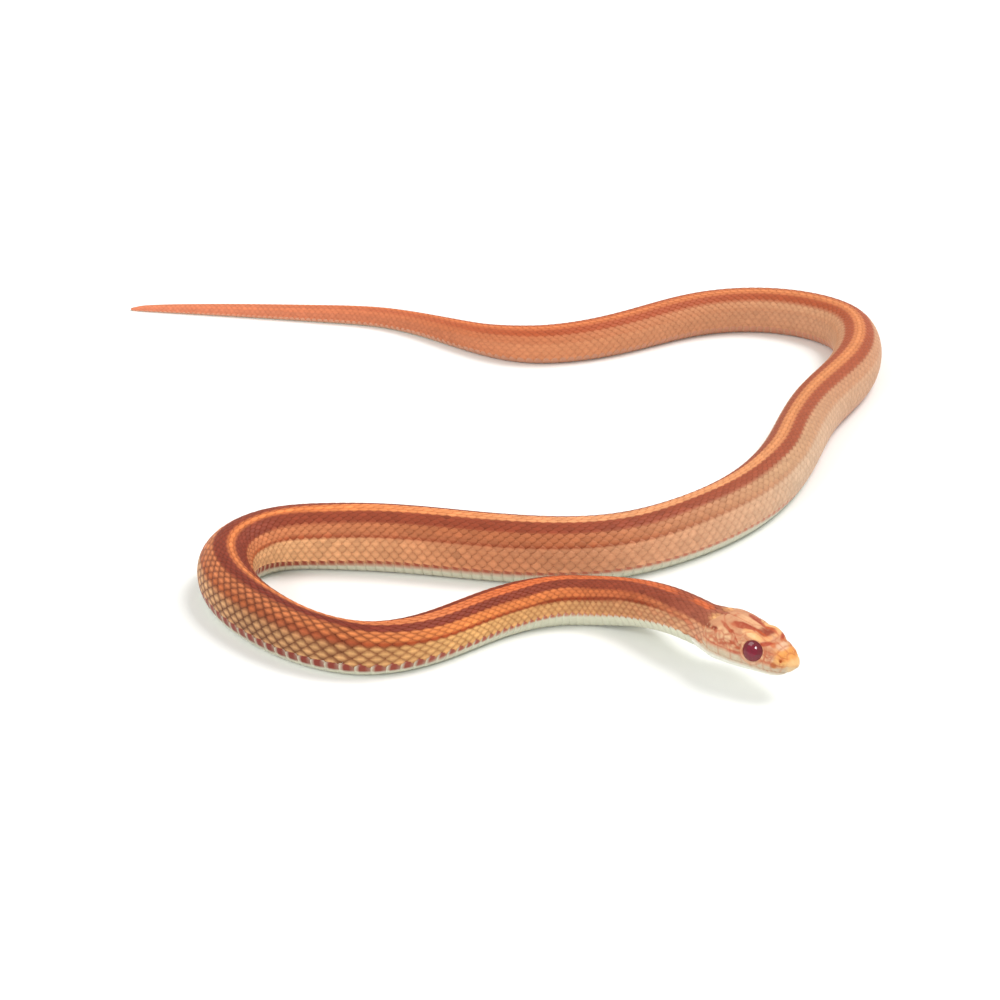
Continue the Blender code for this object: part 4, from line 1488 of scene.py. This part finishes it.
    def head_colours(self, p: HeadPlaces) -> Array:
        """Colours of the head with its seams, mouth and nostrils drawn in, and painted shade in the hollow round the
        eye.

        Mottled and light clouds come from two crossed waves, each bent by another. They are
        strongest on the sides. Behind the shields the body's colours take over.

        Args:
            p: Places on the head.

        Returns:
            Linear colours, one row each.
        """
        m, turned = self.markings, np.abs(p.angle)
        low = smooth(*self.chin_height, p.place[:, 2])
        flank = smooth(*self.flank_from, turned) * smooth(*self.flank_to, turned)
        flank = flank * smooth(*self.flank_front, p.at)
        mottle, cream, halo = (k + more * flank for k, more in (
            self.mottle_share, self.cream_share, self.halo_share))
        cloud = np.sin(2.9 * p.at + 0.13 * p.angle + 1.3 * np.sin(0.19 * p.angle - 1.7 * p.at))
        cloud = cloud * np.sin(0.24 * p.angle - 1.1 * p.at + 1.9 * np.sin(2.1 * p.at))
        faint = low * (1 - self.lip_fade * smooth(*m.lips_start, turned))
        granule = self.granule_mark * low * (1 - p.shields) * smooth(0.7, 1.0, p.granule)
        neck = smooth(0.0, 1.6, p.at - Scales.first(p.angle) + 0.3) * smooth(110, 98, turned)
        colour = m.head(p.at, p.angle, p.place)
        for tint, share in (
            (linear(m.crown) * self.ring_gain, self.eye_ring.over(p.eye) * smooth(0.75, 0.3, p.upward)),
            (linear(self.mottle), mottle * low * smooth(-0.1, 0.8, cloud)),
            (linear(self.cream), cream * low * smooth(0.1, 0.8, -cloud)),
            (linear(self.mottle), halo * low * p.shields * self.seam_halo.over(p.seam)),
            (linear(m.suture), faint * p.shields * self.seam_mark.over(p.seam)),
            (linear(m.suture), granule),
            (linear(m.suture), self.lid_mark.over(p.eye) * smooth(*self.under_side, p.upward)),
            (linear(m.mouth), self.mouth_mark.over(p.mouth)),
            (linear(m.nostril), self.nostril_mark.over(p.nostril)),
            # Painted shade in the hollow round the eye
            (linear(self.socket), self.painted_socket_shade * smooth(0.1, -0.02, p.eye)),
            (m.body(p.at, m.counts.upright(p.at, p.angle)), self.scaled_share * neck),
        ):
            colour = blend(colour, tint, share)
        return np.clip(colour, 0, 1)

    @staticmethod
    def places(rings: Array, columns: int) -> tuple[Array, Array]:
        """Distances and angles of a tube's points, ring by ring, round from the middle of the back.

        Args:
            rings: Distances of the rings behind the snout.
            columns: How many points a ring has.

        Returns:
            Distances and angles.
        """
        turn = np.arange(columns) * 360 / columns
        turn = np.where(turn > 180, turn - 360, turn)
        at, angle = np.meshgrid(rings, turn, indexing="ij")
        return at.ravel(), angle.ravel()

    def head(self) -> tuple[Array, Array, Array]:
        """Points, colours and rims of the head.

        The rings lie closest at the snout: their distance rises by the square root of a square and
        a small constant. The front of the chin is pulled up and drops back in a quarter of an oval.
        Where scales cover the head, the skin sinks under them.

        Returns:
            Points, linear colours and rims.
        """
        form, ease = self.form, self.snout_ease
        t = np.arange(1, self.head_rings + 1) / self.head_rings
        rings = form.head_joint * (np.sqrt(t * t + ease * ease) - ease) / (math.sqrt(1 + ease * ease) - ease)
        p = self.survey(*self.places(rings, self.head_columns))
        raised, lid = self.relief(p)
        turned = np.abs(p.angle)
        sunk = np.maximum(
            smooth(*self.sunk, p.at - Scales.first(p.angle)) * smooth(*self.sunk_sides, turned),
            smooth(*self.joint, p.at) * smooth(*self.joint_sides, turned),
        )
        points = form.point(p.at, p.angle, raised * (1 - sunk) - SKIN_DEPTH * sunk)
        forward, left, up = self.detail.eye.directions()[2]
        left = np.where(p.angle > 0, left, -left)[:, None]
        ahead, across, over = form.axes(p.at)[1:]
        points = points + lid[:, None] * (forward * ahead + left * across + up * over)
        _, low, _, _, middle = form.sizes(p.at)
        quarter = np.sqrt(1 - np.clip(1 - p.at / self.chin_reach, 0, 1) ** 2)
        share = np.clip((middle - p.place[:, 2]) / np.maximum(middle - low, 1e-6), 0, 1)
        chin = self.chin_top - self.chin_drop * quarter - low
        points[:, 2] += np.where(p.at < self.chin_end, chin, 0) * share
        return points, self.head_colours(p), self.seam_rim.over(p.seam)

    def body(self) -> tuple[Array, Array]:
        """Points and colours of the body, which lies a little under the form.

        Returns:
            Points and linear colours.
        """
        form, m = self.form, self.markings
        count = int((form.length - form.head_joint) / self.body_step)
        rings = np.linspace(form.head_joint, form.length - self.tail_gap, count + 1)[1:]
        at, angle = self.places(rings, self.body_columns)
        points = form.point(at, angle, -SKIN_DEPTH * form.slim(at))
        pattern = self.counts.upright(at, angle)
        back = m.threaded(m.body(at, pattern), at, pattern)
        back = blend(back, m.tint(Band.SEAM, at), m.seam(at, pattern))
        pale = smooth(*self.pale_from, np.abs(angle) - along(self.counts.edge_angle, at))
        # Past the last scales the skin takes the belly's colour, with its painted shade, a little darker
        return points, blend(back, linear(m.belly) * self.under_tone, pale)

    @staticmethod
    def tube(grid: Array) -> Array:
        """Four-sided faces between the rings of a tube.

        Args:
            grid: Numbers of the points, a row for each ring.

        Returns:
            Faces, one row each.
        """
        ahead, behind = grid[:-1], grid[1:]
        corners = [ahead, np.roll(ahead, -1, 1), np.roll(behind, -1, 1), behind]
        return np.stack(corners, -1).reshape(-1, 4)

    @staticmethod
    def collar(fine: Array, coarse: Array) -> Array:
        """Triangles between a fine ring and a coarse one: fans to the coarse points, and one between fans.

        Args:
            fine: Numbers of the points of the fine ring.
            coarse: Numbers of the points of the coarse ring.

        Returns:
            Triangles, one row each.
        """
        ratio = len(fine) // len(coarse)
        edge = fine.reshape(-1, ratio)
        edge = np.column_stack([edge, np.roll(edge[:, 0], -1)])
        far = np.roll(coarse, -1)
        tops = [coarse if 2 * k < ratio else far for k in range(ratio)]
        fans = [np.stack([edge[:, k], edge[:, k + 1], top], -1) for k, top in enumerate(tops)]
        return np.concatenate([*fans, np.stack([coarse, edge[:, ratio // 2], far], -1)])

    def build(self, name: str, material: bpy.types.Material) -> bpy.types.Object:
        """Makes the skin: fine rings on the head, coarser ones on the body, and a point at each end.

        Args:
            name: Name of the piece.
            material: Its finish.

        Returns:
            The piece.
        """
        (head, head_colour, rim), (body, body_colour) = self.head(), self.body()
        ends = np.array([0.0, self.form.length])
        tips = (self.form.bare(ends, np.full(2, 90.0)) + self.form.bare(ends, np.full(2, -90.0))) / 2
        points = np.concatenate([head, body, tips])
        colours = np.concatenate([head_colour, body_colour, head_colour[:1], body_colour[-1:]])
        fine = np.arange(len(head)).reshape(-1, self.head_columns)
        coarse = len(head) + np.arange(len(body)).reshape(-1, self.body_columns)
        nose, tail = np.full(len(fine[0]), len(points) - 2), np.full(len(coarse[0]), len(points) - 1)
        triangles = [
            self.collar(fine[-1], coarse[0]),
            np.stack([nose, np.roll(fine[0], -1), fine[0]], -1),
            np.stack([tail, coarse[-1], np.roll(coarse[-1], -1)], -1),
        ]
        faces = [self.tube(fine), self.tube(coarse), np.concatenate(triangles)]
        rims = np.concatenate([rim, np.zeros(len(body) + 2)])
        return Surface(points, faces, colours, rims).build(name, material)


@dataclass(frozen=True)
class Eye:
    """One eye under its clear scale: a ruby pupil and iris, with a rim made lighter by painted light against the
    lid's shade.
    """

    form: Form
    place: EyePlace = EyePlace()
    rings: int = 48
    segments: int = 64
    pupil: Colour = (122, 24, 46)
    iris: Colour = (112, 34, 44)
    # Painted light: the rim is lighter than the eye's own edge, to make up for the lid's shade on it
    rim: Colour = (132, 50, 54)
    pupil_reach: float = 32.0
    pupil_soft: float = 4.0
    rim_reach: float = 84.0
    rim_soft: float = 30.0
    streaks: float = 0.1

    def build(self, name: str, side: int, material: bpy.types.Material) -> bpy.types.Object:
        """Makes the eye as a shallow dome out of the head and a deeper one into it.

        Args:
            name: Name of the piece.
            side: 1 on the left and -1 on the right.
            material: Its finish.

        Returns:
            The piece.
        """
        lat = np.linspace(0, math.pi, self.rings + 1)[1:-1]
        lon = np.arange(self.segments) * 2 * math.pi / self.segments
        lat, lon = (g.ravel() for g in np.meshgrid(lat, lon, indexing="ij"))
        ball = np.stack([np.sin(lat) * np.cos(lon), np.sin(lat) * np.sin(lon), np.cos(lat)], -1)
        ball = np.concatenate([ball, [[0, 0, 1], [0, 0, -1]]])
        reach = np.degrees(np.arccos(np.clip(ball[:, 2], -1, 1)))
        spin = np.arctan2(ball[:, 1], ball[:, 0])
        depth = np.where(ball[:, 2] > 0, self.place.bulge, self.place.depth)
        size = np.column_stack([np.full((len(ball), 2), self.place.rim), depth])
        local = (ball * size) @ np.array(self.place.directions()) + np.array(self.place.centre)
        local = local * np.array([1, side, 1])
        point, forward, left, up = self.form.axes(np.array([self.form.head_joint]))
        points = point + local[:, :1] * forward + local[:, 1:2] * left + local[:, 2:] * up
        inner = smooth(self.pupil_reach - self.pupil_soft, self.pupil_reach + self.pupil_soft, reach)
        outer = smooth(self.rim_reach - self.rim_soft, self.rim_reach, reach)
        streak = (1 + self.streaks * np.sin(23 * spin) * np.sin(9 * spin + 1))[:, None]
        colour = blend(linear(self.pupil), linear(self.iris) * streak, inner)
        # The rim's lighter colour is painted light against the lid's shade
        colour = blend(colour, linear(self.rim), outer)
        grid = np.arange(len(lat)).reshape(-1, self.segments)
        after = np.roll(grid, -1, 1)
        quads = np.stack([grid[:-1], grid[1:], after[1:], after[:-1]], -1).reshape(-1, 4)
        pole, foot = (np.full(self.segments, len(lat) + k) for k in (0, 1))
        caps = np.concatenate([
            np.stack([pole, grid[0], after[0]], -1), np.stack([foot, after[-1], grid[-1]], -1),
        ])
        if side > 0:
            quads, caps = quads[:, ::-1], caps[:, ::-1]
        return Surface(points, [quads, caps], np.clip(colour, 0, 1)).build(name, material)


class Graph:
    """A material's nodes, built in order."""

    def __init__(self, name: str) -> None:
        """Starts a material with its shader.

        Args:
            name: Name of the material.
        """
        self.material = bpy.data.materials.new(name)
        self.material.use_nodes = True
        self.tree = self.material.node_tree
        self.shader = self.tree.nodes["Principled BSDF"]

    def node(self, kind: str, inputs: dict[str | int, object] | None = None,
             **settings: object) -> bpy.types.Node:
        """Adds a node.

        Args:
            kind: Its type.
            inputs: Values or outputs of other nodes, by the name or number of the input.
            **settings: Its own properties.

        Returns:
            The node.
        """
        made = self.tree.nodes.new(kind)
        for key, value in settings.items():
            setattr(made, key, value)
        for key, value in (inputs or {}).items():
            self.feed(made.inputs[key], value)
        return made

    def feed(self, socket: bpy.types.NodeSocket, value: object) -> None:
        """Gives an input a constant or joins it to an output.

        Args:
            socket: The input.
            value: A constant, or the output of a node.
        """
        if isinstance(value, bpy.types.NodeSocket):
            self.tree.links.new(value, socket)
        else:
            socket.default_value = value

    def finish(self, **inputs: object) -> bpy.types.Material:
        """Sets the shader's inputs, named with underscores for spaces.

        Args:
            **inputs: The inputs by name, each a constant or the output of a node.

        Returns:
            The material.
        """
        for key, value in inputs.items():
            self.feed(self.shader.inputs[key.replace("_", " ")], value)
        return self.material

    def shade(self) -> bpy.types.NodeSocket:
        """The colour that rides on the mesh."""
        return self.node("ShaderNodeAttribute", attribute_name="shade").outputs["Color"]

    def rim(self) -> bpy.types.NodeSocket:
        """How near a place lies to a seam, which rides on the mesh."""
        return self.node("ShaderNodeAttribute", attribute_name="rim").outputs["Fac"]

    def maths(self, operation: str, *values: object) -> bpy.types.NodeSocket:
        """A sum on one or two numbers."""
        return self.node("ShaderNodeMath", dict(enumerate(values)), operation=operation).outputs[0]

    def spread(self, value: object, first: float, last: float, low: float = 0.0,
               high: float = 1.0) -> bpy.types.NodeSocket:
        """A number moved from the range low to high to the range first to last."""
        inputs = {0: value, 1: low, 2: high, 3: first, 4: last}
        return self.node("ShaderNodeMapRange", inputs).outputs[0]

    def swing(self, noise: bpy.types.NodeSocket, share: float) -> bpy.types.NodeSocket:
        """A number that swings round 1 by a share with a noise, whose values lie mostly from 0.3 to 0.7."""
        return self.spread(noise, 1 - share, 1 + share, 0.3, 0.7)

    def noise(self, size_mm: float, detail: float = 3.0, roughness: float = 0.55) -> bpy.types.NodeSocket:
        """Cloudy noise with lumps about as large as size_mm.

        Args:
            size_mm: Size of a lump.
            detail: How many finer layers there are.
            roughness: How strong the finer layers are.

        Returns:
            Its height, from 0 to 1.
        """
        place = self.node("ShaderNodeTexCoord").outputs["Object"]
        inputs = {"Vector": place, "Scale": 1000 / size_mm, "Detail": detail, "Roughness": roughness}
        return self.node("ShaderNodeTexNoise", inputs).outputs["Fac"]

    def toned(self, colour: object, value: bpy.types.NodeSocket) -> bpy.types.NodeSocket:
        """A colour with its brightness scaled by a number."""
        return self.node("ShaderNodeHueSaturation", {"Value": value, "Color": colour}).outputs[0]

    def bump(self, height: bpy.types.NodeSocket, depth_mm: float, strength: float) -> bpy.types.NodeSocket:
        """Fine relief from a height of 0 to 1."""
        inputs = {"Strength": strength, "Distance": depth_mm * MM, "Height": height}
        return self.node("ShaderNodeBump", inputs).outputs[0]


@dataclass(frozen=True)
class Finish:
    """The look of a scaly surface: its colours ride on the mesh."""

    roughness: float = 0.44
    rim_roughness: float = 0.56
    cloud_mm: float = 1.1
    cloud: float = 0.06
    grain_mm: float = 0.16
    grain: float = 0.05
    relief_mm: float = 0.02
    relief: float = 0.5
    rough_swing: float = 0.12
    gloss: float = 0.13

    def material(self, name: str) -> bpy.types.Material:
        """Builds the material: cloudy and grainy colour, duller rims and fine relief.

        Args:
            name: Name of the material.

        Returns:
            The material.
        """
        g = Graph(name)
        grain = g.noise(self.grain_mm, 2.0)
        tone = g.maths("MULTIPLY", g.swing(g.noise(self.cloud_mm), self.cloud), g.swing(grain, self.grain))
        rough = g.spread(g.rim(), self.roughness, self.rim_roughness)
        rough = g.maths("SUBTRACT", rough, self.rough_swing / 2)
        return g.finish(
            Base_Color=g.toned(g.shade(), tone), Specular_IOR_Level=self.gloss,
            Roughness=g.maths("MULTIPLY_ADD", grain, self.rough_swing, rough),
            Normal=g.bump(grain, self.relief_mm, self.relief),
        )


@dataclass(frozen=True)
class EyeFinish:
    """The look of the eye: wet gloss over a deep colour."""

    roughness: float = 0.04
    rough_swing: float = 0.03
    cloud_mm: float = 0.5
    cloud: float = 0.12
    relief_mm: float = 0.003
    relief: float = 0.3
    gloss: float = 0.42

    def material(self, name: str) -> bpy.types.Material:
        """Builds the material.

        Args:
            name: Name of the material.

        Returns:
            The material.
        """
        g = Graph(name)
        cloud = g.noise(self.cloud_mm)
        return g.finish(
            Base_Color=g.toned(g.shade(), g.swing(cloud, self.cloud)), Specular_IOR_Level=self.gloss,
            Roughness=g.spread(cloud, self.roughness, self.roughness + self.rough_swing),
            Normal=g.bump(cloud, self.relief_mm, self.relief),
        )


@dataclass(frozen=True)
class Lamp:
    """A square soft light that faces the snake: its place and side in metres, and its power in watts."""

    name: str
    at: tuple[float, float, float]
    size: float
    power: float

    def build(self) -> None:
        """Puts the light in the scene, turned to the origin."""
        data = bpy.data.lights.new(self.name, "AREA")
        data.energy, data.size = self.power, self.size
        obj = bpy.data.objects.new(self.name, data)
        bpy.context.scene.collection.objects.link(obj)
        obj.location = self.at
        aim = unit(np.array(self.at))
        obj.rotation_euler = (math.acos(aim[2]), 0, math.atan2(aim[0], -aim[1]))


@dataclass(frozen=True)
class Studio:
    """A white floor under soft light, and the camera. Places are in metres, the lens in millimetres."""

    camera_at: tuple[float, float, float] = (0.0007, -0.4991, 0.23885)
    camera_tilt: float = 64.0
    lens: float = 102.672
    floor_half: float = 2.5
    floor_tone: tuple[float, float, float] = (0.93, 0.935, 0.93)
    sky: tuple[float, float, float] = (0.62, 0.64, 0.605)
    floor_cloud_mm: float = 60.0
    floor_cloud: float = 0.005
    floor_roughness: float = 0.7
    floor_gloss: float = 0.1
    lamps: tuple[Lamp, ...] = (
        Lamp("key", (1.3, 0.45, 2.3), 1.5, 52),
        Lamp("window", (-1.1, -0.43, 0.89), 0.62, 5),
        Lamp("spark", (-0.19, -0.39, 0.21), 0.074, 0.4),
    )

    def floor(self) -> None:
        """The floor, one broad sheet with its top at zero."""
        h = self.floor_half / MM
        points = np.array([(-h, -h, 0), (h, -h, 0), (h, h, 0), (-h, h, 0)])
        g = Graph("floor")
        tone = g.swing(g.noise(self.floor_cloud_mm), self.floor_cloud)
        colour = g.toned((*self.floor_tone, 1), tone)
        g.finish(Base_Color=colour, Roughness=self.floor_roughness, Specular_IOR_Level=self.floor_gloss)
        Surface(points, [np.array([[0, 1, 2, 3]])], np.ones((4, 3))).build("floor", g.material)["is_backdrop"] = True

    def build(self) -> None:
        """Sets the floor, the sky, the lights and the camera."""
        self.floor()
        world = bpy.data.worlds.new("studio")
        world.use_nodes = True
        sky = world.node_tree.nodes["Background"]
        sky.inputs["Color"].default_value = (*self.sky, 1)
        sky.inputs["Strength"].default_value = 1.0
        bpy.context.scene.world = world
        for lamp in self.lamps:
            lamp.build()
        data = bpy.data.cameras.new("camera")
        data.lens, data.sensor_width, data.clip_start = self.lens, 36.0, 0.01
        camera = bpy.data.objects.new("camera", data)
        camera.location = self.camera_at
        camera.rotation_euler = (math.radians(self.camera_tilt), 0, 0)
        bpy.context.scene.collection.objects.link(camera)
        bpy.context.scene.camera = camera
        bpy.context.scene.view_settings.view_transform = "Standard"


@dataclass
class Snake:
    """The whole snake, built from its parts."""

    form: Form = field(default_factory=Form)
    counts: Counts = field(default_factory=Counts)
    markings: Markings = field(default_factory=Markings)
    seed: np.random.Generator = field(default_factory=lambda: np.random.default_rng(7))

    def flesh(self) -> list[str]:
        """Names of the solids that the skin stands for."""
        return [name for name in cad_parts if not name.startswith("eye")]

    def build(self) -> None:
        """Makes skin, scales, scutes and eyes, and ties each to the solids."""
        scaly = Finish().material("scales")
        plain = Finish(roughness=0.4, rim_roughness=0.55, grain_mm=0.2, relief_mm=0.015).material("skin")
        broad = Finish(roughness=0.34, rim_roughness=0.42, cloud=0.03, relief_mm=0.01).material("belly")
        glossy = EyeFinish().material("eye")
        skin = Skin(self.form, self.counts, self.markings).build("skin", plain)
        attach(skin, "root")
        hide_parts(*self.flesh())
        parts = (self.form, self.counts, self.markings)
        for piece in (*Scales(*parts, self.seed).build(scaly), *BellyScutes(*parts).build(broad)):
            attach(piece, "root")
        for name, side in (("eye_left", 1), ("eye_right", -1)):
            eye = Eye(self.form).build(f"{name}_clear", side, glossy)
            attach(eye, "root")
            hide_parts(name)


def corners(bounds: tuple[object, object]) -> list[list[float]]:
    """A box as two plain lists."""
    return [[float(x) for x in corner] for corner in bounds]


def main() -> None:
    """Builds the snake and the studio."""
    logging.basicConfig(level=logging.INFO, format="%(message)s")
    solids = corners(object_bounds())
    Snake().build()
    Studio().build()
    shown = corners(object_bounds())
    LOG.info("solids %s, shown %s", solids, shown)


if __name__ == "__main__":
    main()
